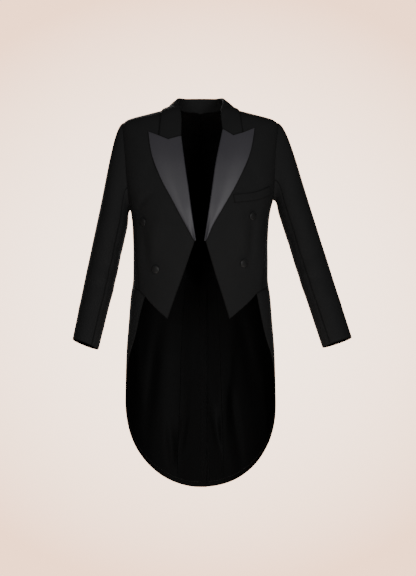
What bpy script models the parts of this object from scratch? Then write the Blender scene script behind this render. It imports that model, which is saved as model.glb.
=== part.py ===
"""A black evening tailcoat, filled out as it is worn but with no wearer in it.

Every piece that a tailor would cut and sew on is one object: fronts, side bodies, backs, tail
skirts, two-piece sleeves, collar, faced lapels, breast welt, tail linings and buttons.
Metres, +Z up. The front faces -Y, and the wearer's left is +X. The origin is the middle of the
neck, at the height where the shoulder seams meet the collar.
"""

import math

import bmesh
import bpy
import numpy as np
from mathutils import Vector
from mathutils.bvhtree import BVHTree

# Driving sizes

CLOTH = 0.0020  # wall of the body, tails and sleeves
LAPEL_WALL = 0.0024
LINING_WALL = 0.0010
WELT_WALL = 0.0016
SEAM_GAP = 0.0003  # between pieces that are sewn together
ROLL_RADIUS = 0.0026  # of the collar's and lapels' fold, at the middle of its wall
WAIST_BACK_Z = -0.478
TAIL_HALF_WIDTH = 0.2105
TAIL_ROUND_Z = -0.826  # where the tails' straight edges turn into the rounded hem
TAIL_END_Z = -1.0764
HEM_FULLNESS = {1: 2.22, -1: 2.08}  # 2 is an ellipse, more is squarer
VENT_LAP = 0.018  # each tail passes the middle of the back by this much
VENT_TOP_Z = -0.500
VENT_START, VENT_CLOSING = 0.005, 0.045  # above the vent's top the tails come together
VENT_MARGIN, VENT_FADING = 0.006, 0.030  # and so they do to each side of the lap
VENT_CLEAR = 0.0007  # half of the gap between the outer tail and the inner one
LINING_MARGIN = 0.014  # from the lining to the edge of the cloth
BUTTON_RADIUS = 0.0108
LINING_TUCK = 0.004  # from the lining to the waist seam
LINING_SEAM = 0.0002  # and to the seam between a tail's skirt and its strip
SPINE_TOP_Z = -0.25  # rays leave the body's axis level below this height, and from here above it
RETURN = 0.008  # how far a lapel's facing turns in behind the front
RETURN_CLEAR = 0.0002
LAPEL_BELLY, LAPEL_FLARE = 0.0022, 0.0018  # how far a lapel stands off in its middle and at its edge
STAND_FOOT = 0.006  # the collar's stand reaches below the neckline by this much
COLLAR_BELLY = 0.0010
CREST_LEAN = 0.004
LEAF_BACK = (0.0, 0.0870, -0.0240)
LEAF_HIP = (0.66, 0.76)  # how far out and back the leaf is, halfway from the shoulder to the back
WELT_TOP = ((0.0890, -0.2500), (0.1523, -0.2411), (0.1900, -0.2245))
WELT_DEPTH = 0.024
WELT_SLANT = 0.004
BACK_BUTTON = (0.030, -0.470)

# How many stretches each seam is divided into

SIDE_ROWS = 11  # waist to armhole
TAIL_ROWS = 12
SHOULDER_COLUMNS = 7
NECK_COLUMNS = 3
STRAP_COLUMNS = 3  # front of the waist seam
HEM_COLUMNS = 4  # cut-away bottom edge of a front
EDGE_ROWS = 6  # front edge below the lapel
ROLL_ROWS = 11
NECKLINE_ROWS = 4  # gorge to shoulder
ARM_STATIONS = 24  # all round an armhole
FRONT_STATION, BACK_STATION = 10, 17  # where the side body's two seams meet the armhole
UNDER_START, UNDER_END = 8, 17  # the sleeve's two seams, in stations
ARM_ROWS = 10
CAP_STEPS = (0.0, 0.08, 0.20, 0.36, 0.55, 0.77, 1.0)  # rows of the sleeve cap
VENT_COLUMNS = 5  # columns of the outer tail that lie over the inner one
INNER_VENT_COLUMNS = 2
FACE_COLUMNS = 9  # from the roll to a lapel's outer edge
NOTCH_COLUMN, CORNER_COLUMN = 3, 6  # where the collar's leaf meets the lapel's top edge
NORMAL_COLUMN = 2  # the way in from the roll is taken towards this column
ROLL_TURNS = (-90.0, -45.0, 0.0, 45.0, 90.0)
COLLAR_QUARTERS = (8, 7, 7, 8)  # rows from gorge to shoulder, to the middle of the back, and on
COLLAR_BLEND = 4  # rows over which the collar takes up the lapel's section
COLLAR_RISE = (
    # row from the gorge, height of the fold above the neckline
    (0, 0.0),
    (2, 0.003),
    (5, 0.012),
    (8, 0.028),
    (12, 0.039),
    (15, 0.043),
)
FOLD_ROWS = (0, 4, 8, 12, 15, 18, 22, 26, 30)  # the fold is a smooth curve through these
WELT_COLUMNS = 8
BUTTON_TURNS = 14

# How finely curves are followed before they are divided

CURVE_SAMPLES = 40  # for each point that a curve goes through
FINE_CURVE = 2000
HEM_SAMPLES = 60
FORM_LEVELS = 1200
PRESS_LIMITS = (0.2, 3.0)
PRESS_HALVINGS = 44
TRIM_MOST = 0.7  # of the way to the next line
SHARP_ANGLE = 40

# The body's form, as level sections

FORM = (
    # height, half width, front depth, back depth, fullness (2 is an ellipse, more is squarer)
    (0.060, 0.0570, 0.044, 0.052, 2.00),
    (0.025, 0.0620, 0.046, 0.060, 2.00),
    (0.000, 0.0780, 0.050, 0.066, 2.00),
    (-0.006, 0.0880, 0.051, 0.067, 2.05),
    (-0.020, 0.1400, 0.056, 0.076, 2.15),
    (-0.036, 0.1990, 0.063, 0.086, 2.20),
    (-0.045, 0.2130, 0.068, 0.091, 2.25),
    (-0.060, 0.2195, 0.076, 0.099, 2.30),
    (-0.100, 0.2220, 0.094, 0.113, 2.30),
    (-0.150, 0.2195, 0.112, 0.123, 2.30),
    (-0.200, 0.2150, 0.123, 0.127, 2.30),
    (-0.250, 0.2050, 0.130, 0.124, 2.30),
    (-0.300, 0.1930, 0.134, 0.117, 2.30),
    (-0.375, 0.1875, 0.132, 0.103, 2.30),
    (-0.430, 0.1868, 0.126, 0.094, 2.30),
    (-0.480, 0.1872, 0.121, 0.092, 2.30),
    (-0.530, 0.1940, 0.119, 0.100, 2.30),
    (-0.600, 0.1996, 0.121, 0.116, 2.30),
    (-0.680, 0.2060, 0.120, 0.126, 2.30),
    (-0.750, 0.2085, 0.118, 0.130, 2.30),
    (-0.850, 0.2105, 0.118, 0.133, 2.30),
    (-1.090, 0.2110, 0.118, 0.140, 2.30),
)

# Places on each front, as (distance from the middle, height) seen from the front. A leaf's
# places are (distance from the middle, depth, height).

FRONTS = {
    "left": {
        "side": 1,
        "roll": ((0.0138, -0.378), (0.0240, -0.310), (0.0342, -0.240), (0.0450, -0.165), (0.0640, -0.0700)),
        "edge": ((0.0800, -0.5920), (0.0590, -0.525), (0.0380, -0.459), (0.0138, -0.378)),
        "bottom": ((0.0800, -0.5920), (0.1551, -0.5222)),
        "lapel_top": ((0.0640, -0.0700), (0.0902, -0.0875), (0.1170, -0.0795), (0.1490, -0.0654)),
        "lapel_edge": (
            (0.0185, -0.372), (0.0333, -0.3377), (0.0642, -0.2828), (0.0882, -0.2408),
            (0.1173, -0.1824), (0.1368, -0.1322), (0.1490, -0.0654),
        ),
        "neckline": ((0.0640, -0.0700), (0.0645, -0.044), (0.0685, -0.018)),
        "leaf": ((0.0970, 0.0020, -0.0050), (0.1075, -0.0420, -0.0330)),
        "buttons": ((0.1423, -0.3084), (0.1178, -0.4389)),
        "armhole_low": -0.262,
    },
    "right": {
        "side": -1,
        "roll": ((0.0149, -0.378), (0.0250, -0.310), (0.0348, -0.240), (0.0458, -0.165), (0.0560, -0.0886)),
        "edge": ((0.0902, -0.5921), (0.0670, -0.525), (0.0430, -0.459), (0.0149, -0.378)),
        "bottom": ((0.0902, -0.5921), (0.1532, -0.5300)),
        "lapel_top": ((0.0560, -0.0886), (0.0881, -0.0986), (0.1145, -0.0876), (0.1430, -0.0759)),
        "lapel_edge": (
            (0.0196, -0.372), (0.0476, -0.3204), (0.0764, -0.2655), (0.1010, -0.2200),
            (0.1179, -0.1824), (0.1340, -0.1350), (0.1430, -0.0759),
        ),
        "neckline": ((0.0560, -0.0886), (0.0600, -0.052), (0.0670, -0.020)),
        "leaf": ((0.0966, 0.0020, -0.0080), (0.1070, -0.0440, -0.0420)),
        "buttons": ((0.1560, -0.3245), (0.1216, -0.4557)),
        "armhole_low": -0.290,
    },
}
BACK_SEAM = ((0.045, WAIST_BACK_Z), (0.056, -0.400), (0.082, -0.310), (0.122, -0.240))
TAIL_SEAM = ((0.062, -0.900), (0.056, -0.700), (0.048, -0.560), (0.045, WAIST_BACK_Z))
TAIL_SEAM_FOOT = 0.068  # where it meets the hem, from the middle
SIDE_SEAM_LOW = (0.170, -0.512)
SIDE_SEAM_BOW = 0.004
WAIST_MIDDLE = ((0.1872, -0.497), (0.110, -0.484))
TAIL_EDGE = ((0.2015, -0.7100), (0.1820, -0.6450), (0.1655, -0.5735))
BACK_MIDDLE = ((0, 0.09, WAIST_BACK_Z), (0, 0.11, -0.35), (0, 0.125, -0.20), (0, 0.11, -0.09))
SHOULDER = (0.2130, 0.0, -0.0450)
SHOULDER_MIDDLE = (0.145, 0.0, -0.0212)
NECK_SIDE = (0.0780, 0.0, 0.0)
NECK_HIP = ((0.046, 0.0560, -0.0095), (0.070, 0.026, -0.003))
NECK_BACK = (0.0, 0.0700, -0.0120)

# Soft flutes in the tails

FLUTES = (
    # the crest's angle round the back from its middle, width in degrees, height at the hem
    (-64.0, 17.0, 0.0065),
    (-33.0, 13.0, 0.0050),
    (30.0, 14.0, 0.0060),
    (57.0, 11.0, 0.0045),
    (78.0, 12.0, 0.0050),
)
FLUTE_TOP_Z = -0.60
FLUTE_SINK = 0.0025  # the tails fall in by this much between the crests, at the hem
FLUTE_GROWTH = 1.3  # 1 grows evenly down the tail, more grows mostly near the hem

# Each sleeve: the middle of its section level with the armpit and at the cuff, and its sizes there

SLEEVES = {
    "left": {
        "side": 1,
        "top": (0.2618, 0.006, -0.2858),
        "cuff": (0.3802, -0.040, -0.6593),
        "half_width": (0.0441, 0.0436, 0.0424),
        "half_depth": (0.0640, 0.0590, 0.0520),
        "hem_tilt": 0.02,
        "head": 0.032,
    },
    "right": {
        "side": -1,
        "top": (0.2470, 0.006, -0.3295),
        "cuff": (0.3196, -0.040, -0.6641),
        "half_width": (0.0423, 0.0410, 0.0375),
        "half_depth": (0.0640, 0.0590, 0.0520),
        "hem_tilt": 0.15,
        "head": 0.022,
    },
}
ARMHOLE_FRONT, ARMHOLE_BACK = 0.045, 0.055  # its half-depths
ARMHOLE_EGG = 0.22  # how much wider it is low down
ELBOW_BOW = 0.012
HEM_TILT_FROM = 0.7  # of the way down the sleeve, where its rings begin to tilt
CAP_PULL, CAP_PUSH = 0.20, 1.25  # how far the cap carries on out of the shoulder, and into the arm

# Creases of a sleeve

CREASE_SLANT = 4  # breadths that a crease with a slant of 1 runs down in its own length
CREASES = (
    # share of the way down, degrees round the sleeve, slant, length in degrees, breadth, height
    (0.30, 115.0, 0.35, 70.0, 0.060, 0.0022),
    (0.46, 95.0, 0.20, 60.0, 0.055, 0.0028),
    (0.60, 125.0, -0.30, 65.0, 0.060, 0.0022),
    (0.40, 285.0, -0.25, 60.0, 0.060, 0.0020),
)

# A button from the middle of its face round to its shank, as (share of its radius, height)

BUTTON_PROFILE = (
    (0.0, 0.0060), (0.60, 0.0056), (0.93, 0.0044), (1.0, 0.0032),
    (0.93, 0.0020), (0.389, 0.0016), (0.333, 0.0), (0.0, 0.0),
)

# Colour and roughness of each finish

FINISHES = {
    "wool": ((0.010, 0.010, 0.011, 1.0), 0.85),
    "satin": ((0.055, 0.055, 0.062, 1.0), 0.35),
    "lining": ((0.004, 0.004, 0.005, 1.0), 0.40),
    "button": ((0.012, 0.012, 0.014, 1.0), 0.40),
}


# Curves

def smooth_table(rows, at):
    """The columns of a table of numbers, read at the given values of its first column."""
    rows = np.array(sorted(rows), float)
    x, y = rows[:, 0], rows[:, 1:]
    gap = np.diff(x)[:, None]
    rise = np.diff(y, axis=0) / gap
    slope = np.vstack([rise[:1], (rise[:-1] + rise[1:]) / 2, rise[-1:]])
    same = np.vstack([np.ones_like(rise[:1]), rise[:-1] * rise[1:], np.ones_like(rise[:1])]) > 0
    limit = 3 * np.minimum(np.abs(np.vstack([rise[:1], rise])), np.abs(np.vstack([rise, rise[-1:]])))
    slope = np.where(same, np.clip(slope, -limit, limit), 0)
    at = np.clip(np.asarray(at, float), x[0], x[-1])
    i = np.clip(np.searchsorted(x, at) - 1, 0, len(x) - 2)
    step = (x[i + 1] - x[i])[..., None]
    t = (at - x[i])[..., None] / step
    ends = y[i] * (2 * t**3 - 3 * t**2 + 1) + y[i + 1] * (3 * t**2 - 2 * t**3)
    return ends + step * (slope[i] * (t**3 - 2 * t**2 + t) + slope[i + 1] * (t**3 - t**2))


def through(points, stretches):
    """Evenly spaced points along one smooth curve through the given points."""
    points = np.array(points, float)
    run = np.r_[0, np.cumsum(np.linalg.norm(np.diff(points, axis=0), axis=1))]
    if len(points) > 2:
        slope = np.gradient(points, run, axis=0)
    else:
        slope = np.tile((points[1] - points[0]) / run[1], (2, 1))
    fine = np.linspace(0, run[-1], CURVE_SAMPLES * len(points))
    i = np.clip(np.searchsorted(run, fine) - 1, 0, len(points) - 2)
    step = (run[i + 1] - run[i])[:, None]
    t = (fine - run[i])[:, None] / step
    curve = points[i] * (2 * t**3 - 3 * t**2 + 1) + points[i + 1] * (3 * t**2 - 2 * t**3)
    curve += step * (slope[i] * (t**3 - 2 * t**2 + t) + slope[i + 1] * (t**3 - t**2))
    return evenly(curve, stretches)


def evenly(curve, stretches):
    """The same polyline with its points spaced evenly."""
    run = np.r_[0, np.cumsum(np.linalg.norm(np.diff(curve, axis=0), axis=1))]
    at = np.linspace(0, run[-1], stretches + 1)
    return np.stack([np.interp(at, run, curve[:, k]) for k in range(curve.shape[1])], axis=1)


def chain(*lines):
    """One polyline from several that meet end to end."""
    return np.vstack([lines[0]] + [line[1:] for line in lines[1:]])


def unit(vectors):
    return vectors / np.maximum(np.linalg.norm(vectors, axis=-1, keepdims=True), 1e-12)


# The form

LEVELS = np.linspace(FORM[-1][0], FORM[0][0], FORM_LEVELS)
SECTIONS = smooth_table(FORM, LEVELS)


def section(z):
    """Half width, front depth, back depth and fullness of the form at each height."""
    return [np.interp(z, LEVELS, SECTIONS[:, k]) for k in range(4)]


def swell(points):
    """Below 1 inside the form, 1 on it and above 1 outside."""
    wide, front, back, full = section(points[..., 2])
    deep = np.where(points[..., 1] < 0, front, back)
    total = np.abs(points[..., 0] / wide) ** full + np.abs(points[..., 1] / deep) ** full
    return total ** (1 / full)


def press(points):
    """The points moved onto the form, along rays from its spine."""
    points = np.asarray(points, float)
    spine = np.zeros_like(points)
    spine[..., 2] = np.minimum(points[..., 2], SPINE_TOP_Z)
    ray = points - spine
    low, high = [np.full(points.shape[:-1], limit) for limit in PRESS_LIMITS]
    for _ in range(PRESS_HALVINGS):
        middle = (low + high) / 2
        inside = swell(spine + ray * middle[..., None]) < 1
        low, high = np.where(inside, middle, low), np.where(inside, high, middle)
    return spine + ray * low[..., None]


def outward(points):
    """Unit normals of the form at points near it."""
    step = 0.0008
    slopes = []
    for axis in range(3):
        shift = np.zeros(3)
        shift[axis] = step
        slopes.append(swell(points + shift) - swell(points - shift))
    return unit(np.stack(slopes, axis=-1))


def level(points):
    """The points moved onto the form at their own heights."""
    return points / np.stack([swell(points), swell(points), np.ones(points.shape[:-1])], axis=-1)


def seen_at(x, z, facing):
    """The point of the form at (x, z), on its front half if facing is -1, else on its back half."""
    wide, front, back, full = section(z)
    deep = front if facing < 0 else back
    return np.array([x, facing * deep * max(0.0, 1 - abs(x / wide) ** full) ** (1 / full), z])


def seam(points, side, facing, stretches):
    """A seam over the form through (distance from the middle, height) points."""
    line = through([seen_at(side * x, z, facing) for x, z in points], stretches)
    return press(line)


def flute_lift(points):
    """How far the tails stand out from the form, which grows towards the hem."""
    drop = np.clip((FLUTE_TOP_Z - points[..., 2]) / (FLUTE_TOP_Z - TAIL_END_Z), 0, 1)
    turn = np.degrees(np.arctan2(points[..., 0], points[..., 1]))
    lift = np.zeros_like(drop)
    for angle, width, height in FLUTES:
        lift += height * np.exp(-(((turn - angle) / width) ** 2))
    return (lift - FLUTE_SINK) * drop**FLUTE_GROWTH


# Sewing: grids of points and the walls made from them

def stretch(bottom, top, left, right):
    """A sheet stretched between four edges. Rows run from bottom to top, columns from left to right."""
    rows, columns = len(left) - 1, len(bottom) - 1
    v = np.linspace(0, 1, rows + 1)[:, None, None]
    u = np.linspace(0, 1, columns + 1)[None, :, None]
    across = left[:, None] * (1 - u) + right[:, None] * u
    upright = bottom[None] * (1 - v) + top[None] * v
    corners = (1 - v) * ((1 - u) * left[0] + u * right[0]) + v * ((1 - u) * left[-1] + u * right[-1])
    return across + upright - corners


def set_back(grid, gap, sides="bottom top left right"):
    """The grid with its named edges moved in, square to each edge."""
    made = grid.copy()
    for name, line, inner in (
        ("bottom", np.s_[0, :], np.s_[1, :]),
        ("top", np.s_[-1, :], np.s_[-2, :]),
        ("left", np.s_[:, 0], np.s_[:, 1]),
        ("right", np.s_[:, -1], np.s_[:, -2]),
    ):
        if name in sides:
            along = unit(np.gradient(grid[line], axis=0))
            inward = grid[inner] - grid[line]
            inward -= (inward * along).sum(axis=1, keepdims=True) * along
            made[line] += unit(inward) * gap
    return made


def wall_mesh(name, grid, normals, thickness):
    """A closed wall, half its thickness to each side of a grid of points.

    It is a flat grid moved to the inner points, extruded, and the new layer moved to the outer
    ones. Its rims follow the given normals, so that two pieces' edges lie parallel at a seam.
    """
    rows, columns = grid.shape[:2]
    inner = (grid - normals * thickness / 2).reshape(-1, 3)
    outer = (grid + normals * thickness / 2).reshape(-1, 3)
    wall = bmesh.new()
    bmesh.ops.create_grid(wall, x_segments=columns - 1, y_segments=rows - 1, size=1)
    station = wall.verts.layers.int.new("station")
    for number, vertex in enumerate(wall.verts):
        vertex[station] = number
        vertex.co = inner[number]
    bmesh.ops.triangulate(wall, faces=wall.faces[:], quad_method="SHORT_EDGE")
    raised = bmesh.ops.extrude_face_region(wall, geom=wall.faces[:], use_keep_orig=True)
    for vertex in raised["geom"]:
        if isinstance(vertex, bmesh.types.BMVert):
            vertex.co = outer[vertex[station]]
    bmesh.ops.triangulate(wall, faces=[f for f in wall.faces if len(f.verts) > 3])
    bmesh.ops.recalc_face_normals(wall, faces=wall.faces[:])
    mesh = bpy.data.meshes.new(name)
    wall.to_mesh(mesh)
    wall.free()
    return mesh


def place(name, mesh, finish):
    """Adds the mesh to the coat's collection as one named piece."""
    piece = bpy.data.objects.new(name, mesh)
    if not mesh.materials:
        mesh.materials.append(material(finish))
    COAT.objects.link(piece)
    mesh.shade_smooth()
    mesh.set_sharp_from_angle(angle=math.radians(SHARP_ANGLE))
    return piece


def material(finish):
    """The named finish as a Principled BSDF material."""
    found = bpy.data.materials.get(finish)
    if found:
        return found
    colour, roughness = FINISHES[finish]
    made = bpy.data.materials.new(finish)
    made.use_nodes = True
    shader = made.node_tree.nodes["Principled BSDF"]
    shader.inputs["Base Color"].default_value = colour
    shader.inputs["Roughness"].default_value = roughness
    shader.inputs["Metallic"].default_value = 0.0
    made.diffuse_color = colour
    return made


# Seams shared by the pieces of one side

def armhole(front):
    """The stations round an armhole, from the shoulder down the front and up the back."""
    high, low = SHOULDER[2], front["armhole_low"]
    points = []
    for k in range(ARM_STATIONS):
        turn = math.tau * k / ARM_STATIONS
        z = (high + low) / 2 + (high - low) / 2 * math.cos(turn)
        depth = ARMHOLE_FRONT if turn < math.pi else ARMHOLE_BACK
        y = -depth * math.sin(turn) * (1 - ARMHOLE_EGG * math.cos(turn))
        wide, front_depth, back_depth, full = section(z)
        deep = front_depth if y < 0 else back_depth
        x = front["side"] * wide * max(0.0, 1 - abs(y / deep) ** full) ** (1 / full)
        points.append((x, y, z))
    return np.array(points)


def tail_hem(side):
    """The rounded hem of one tail, from its widest place to the middle of the back."""
    power = 2 / HEM_FULLNESS[side]
    depth = TAIL_ROUND_Z - TAIL_END_Z
    line = []
    for turn in np.linspace(0, math.pi / 2, HEM_SAMPLES):
        across = TAIL_HALF_WIDTH * abs(math.cos(turn)) ** power
        line.append(seen_at(side * across, TAIL_ROUND_Z - depth * math.sin(turn) ** power, 1))
    return np.array(line)


def seams_of(front):
    """Every seam and edge line of one side of the coat."""
    side = front["side"]
    hole = armhole(front)
    lines = {"armhole": hole}
    foot = seen_at(side * SIDE_SEAM_LOW[0], SIDE_SEAM_LOW[1], -1)
    halfway = (foot + hole[FRONT_STATION]) / 2 + (side * SIDE_SEAM_BOW, 0, 0)
    lines["side"] = press(through([foot, halfway, hole[FRONT_STATION]], SIDE_ROWS))
    back = [seen_at(side * x, z, 1) for x, z in BACK_SEAM]
    lines["back"] = press(through(back + [hole[BACK_STATION]], SIDE_ROWS))
    hem = tail_hem(side)
    split = int(np.argmin(np.abs(hem[:, 0] - side * TAIL_SEAM_FOOT)))
    lines["tail"] = seam(((abs(hem[split, 0]), hem[split, 2]), *TAIL_SEAM), side, 1, TAIL_ROWS)
    strap = seen_at(side * front["bottom"][1][0], front["bottom"][1][1], -1)
    lines["strap"] = press(through([strap, foot], STRAP_COLUMNS))
    waist = [foot, *[seen_at(side * x, z, 1) for x, z in WAIST_MIDDLE], back[0]]
    lines["waist"] = press(through(waist, BACK_STATION - FRONT_STATION))
    shoulder = [np.array(p) * (side, 1, 1) for p in (NECK_SIDE, SHOULDER_MIDDLE, SHOULDER)]
    lines["shoulder"] = press(through(shoulder, SHOULDER_COLUMNS))
    hem[split] = lines["tail"][0]
    lines["skirt_hem"] = press(evenly(hem[: split + 1], STRAP_COLUMNS + BACK_STATION - FRONT_STATION))
    lines["strip_hem"] = hem[split:]
    edge = [hem[0]] + [seen_at(side * x, z, -1) for x, z in TAIL_EDGE] + [strap]
    lines["tail_edge"] = press(through(edge, TAIL_ROWS))
    lines["roll"] = seam(front["roll"], side, -1, ROLL_ROWS)
    lines["edge"] = seam(front["edge"], side, -1, EDGE_ROWS)
    lines["cutaway"] = seam(front["bottom"], side, -1, HEM_COLUMNS)
    neck = [seen_at(side * x, z, -1) for x, z in front["neckline"]] + [np.array(NECK_SIDE) * (side, 1, 1)]
    lines["neckline"] = press(through(neck, NECKLINE_ROWS))
    neck = [NECK_BACK, *[np.array(p) * (side, 1, 1) for p in (*NECK_HIP, NECK_SIDE)]]
    lines["back_neck"] = press(through(neck, NECK_COLUMNS))
    return lines


# Body pieces

def front_grid(lines):
    """A front, from its cut-away bottom edge to the shoulder seam."""
    hole = lines["armhole"]
    return press(stretch(
        bottom=chain(lines["cutaway"], lines["strap"]),
        top=lines["shoulder"],
        left=chain(lines["edge"], lines["roll"], lines["neckline"]),
        right=chain(lines["side"], hole[FRONT_STATION::-1]),
    ))


def side_grid(lines):
    """The side body, under the arm."""
    return press(stretch(
        bottom=lines["waist"],
        top=lines["armhole"][FRONT_STATION : BACK_STATION + 1],
        left=lines["side"],
        right=lines["back"],
    ))


def skirt_grid(lines):
    """The skirt of one tail, sewn on at the waist."""
    return press(stretch(
        bottom=lines["skirt_hem"],
        top=chain(lines["strap"], lines["waist"]),
        left=lines["tail_edge"],
        right=lines["tail"],
    ))


def back_grid(lines, side):
    """A back with its strip of the tail, cut in one from the shoulder to the hem."""
    hem = lines["strip_hem"]
    lap = seen_at(-side * VENT_LAP, hem[-1][2], 1)
    hem = evenly(np.vstack([hem, lap])[::-1], NECK_COLUMNS + SHOULDER_COLUMNS)
    vent = [seen_at(-side * VENT_LAP, z, 1) for z in np.linspace(hem[0][2], VENT_TOP_Z, TAIL_ROWS)]
    middle = press(through([*BACK_MIDDLE, NECK_BACK], SIDE_ROWS + ARM_STATIONS - BACK_STATION))
    rising = np.vstack([lines["armhole"][BACK_STATION:], lines["armhole"][:1]])
    return press(stretch(
        bottom=hem,
        top=chain(lines["back_neck"], lines["shoulder"]),
        left=np.vstack([vent, middle]),
        right=chain(lines["tail"], lines["back"], rising),
    ))


def vent_lift(points, side):
    """One tail passes outside the other where they lap, so each is moved off the form there."""
    low = np.clip((points[..., 2] - VENT_TOP_Z - VENT_START) / VENT_CLOSING, 0, 1)
    near = np.clip((np.abs(points[..., 0]) - VENT_LAP - VENT_MARGIN) / VENT_FADING, 0, 1)
    apart = CLOTH / 2 + VENT_CLEAR
    return side * apart * (1 - low * low * (3 - 2 * low)) * (1 - near * near * (3 - 2 * near))


def body_piece(name, grid, lift):
    """One panel of the coat's body as a wall on the form."""
    grid = set_back(grid, SEAM_GAP / 2)
    normals = outward(grid)
    grid = grid + normals * lift(grid)[..., None]
    return place(name, wall_mesh(name, grid, normals, CLOTH), "wool")


def trimmed(grid, margins):
    """The grid with its bottom, top, left and right edges moved in by real distances."""
    made = grid.copy()
    for line, inner, margin in (
        (np.s_[0, :], np.s_[1, :], margins[0]),
        (np.s_[-1, :], np.s_[-2, :], margins[1]),
        (np.s_[:, 0], np.s_[:, 1], margins[2]),
        (np.s_[:, -1], np.s_[:, -2], margins[3]),
    ):
        step = made[inner] - made[line]
        length = np.linalg.norm(step, axis=1, keepdims=True)
        made[line] += unit(step) * np.minimum(margin, TRIM_MOST * length)
    return made


def lining_piece(name, grid, lift, margins):
    """The lining inside one panel of a tail, made from the panel's own points, moved in."""
    grid = set_back(grid, SEAM_GAP / 2)
    normals = outward(grid)
    depth = CLOTH / 2 + SEAM_GAP + LINING_WALL / 2
    shell = trimmed(grid + normals * (lift(grid) - depth)[..., None], margins)
    return place(name, wall_mesh(name, shell, normals, LINING_WALL), "lining")


# Lapels and collar

def lapel_face(front, lines):
    """The lapel's points on the form, from the roll to its edge."""
    side = front["side"]
    top_points = [seen_at(side * x, z, -1) for x, z in front["lapel_top"]]
    spans = (NOTCH_COLUMN, CORNER_COLUMN - NOTCH_COLUMN, FACE_COLUMNS - CORNER_COLUMN)
    top = chain(*[through(top_points[k : k + 2], spans[k]) for k in range(3)])
    outer = [seen_at(side * x, z, -1) for x, z in front["lapel_edge"]]
    foot = through([lines["roll"][0], outer[0]], FACE_COLUMNS)
    outer = through(outer, ROLL_ROWS)
    return press(stretch(foot, top, lines["roll"], outer))


def lapel_lift(share):
    """How far the lapel's middle surface stands off the form, from its roll (0) to its edge (1)."""
    return ROLL_RADIUS + LAPEL_BELLY * np.sin(np.pi * np.clip(share, 0, 1)) + LAPEL_FLARE * share


def rolled(centres, apex, out, stand, face, face_normals):
    """Rows of a folded piece: the part behind the fold, the round of the fold, then its face."""
    turns = np.radians(ROLL_TURNS)
    ring = np.cos(turns)[None, :, None] * apex[:, None] + np.sin(turns)[None, :, None] * out[:, None]
    fold = centres[:, None] + ROLL_RADIUS * ring
    grid = np.concatenate([stand, fold, face[:, 1:]], axis=1)
    behind_normals = -unit(outward(stand) + np.array((0.0, 1.0))[None, :, None] * out[:, None])
    normals = np.concatenate([behind_normals, ring, face_normals[:, 1:]], axis=1)
    return grid, normals


def lapel_rows(front, lines):
    """The lapel's grid and normals, and the row that the collar carries on from."""
    base = lapel_face(front, lines)
    normals = outward(base)
    share = np.linspace(0, 1, FACE_COLUMNS + 1)[None, :]
    face = base + normals * lapel_lift(share)[..., None]
    roll, out = base[:, 0], normals[:, 0]
    apex = across_edge(roll, out, base[:, NORMAL_COLUMN])
    stand = np.stack([behind(roll, apex, RETURN), behind(roll, apex, RETURN / 2)], axis=1)
    return rolled(roll, apex, out, stand, face, normals)


def across_edge(line, out, inland):
    """Unit vectors square to an edge line, along the form and away from the cloth."""
    apex = unit(np.cross(unit(np.gradient(line, axis=0)), out))
    return apex * np.sign((apex * (line - inland)).sum(axis=1, keepdims=True))


def behind(line, apex, distance):
    """Points behind the cloth's inner face, the given distance in from its edge."""
    foot = line + press(line - apex * distance) - press(line)
    return foot - outward(foot) * (ROLL_RADIUS + RETURN_CLEAR)


def in_parts(points, knots, stretches):
    """A smooth curve through the points, with evenly spaced stations between its knots."""
    curve = through(points, FINE_CURVE)
    cuts = [int(np.argmin(np.linalg.norm(curve - np.array(points[k]), axis=1))) for k in knots]
    parts = [evenly(curve[a : b + 1], n) for a, b, n in zip(cuts, cuts[1:], stretches)]
    return chain(*parts)


def mirrored(points):
    return [np.array(p) * (-1, 1, 1) for p in points]


def collar_neckline(seams):
    """The neckline that the collar is sewn to, from the right gorge round to the left one."""
    right, left = seams["right"], seams["left"]
    quarters = (right["neckline"], right["back_neck"][::-1], left["back_neck"], left["neckline"][::-1])
    return chain(*[evenly(line, n) for line, n in zip(quarters, COLLAR_QUARTERS)])


def leaf_edge(right_end, left_end):
    """The edge of the collar's leaf, from the right lapel round to the left one."""
    right, left = mirrored(FRONTS["right"]["leaf"]), FRONTS["left"]["leaf"]
    hips = []
    for point in (right[0], left[0]):
        hips.append((point[0] * LEAF_HIP[0], LEAF_BACK[1] * LEAF_HIP[1], (LEAF_BACK[2] + point[2]) / 2))
    points = [right_end, *right[::-1], hips[0], LEAF_BACK, hips[1], *left, left_end]
    knots = (0, len(right), len(right) + 2, len(points) - 1 - len(left), len(points) - 1)
    return in_parts(points, knots, COLLAR_QUARTERS)


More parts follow.
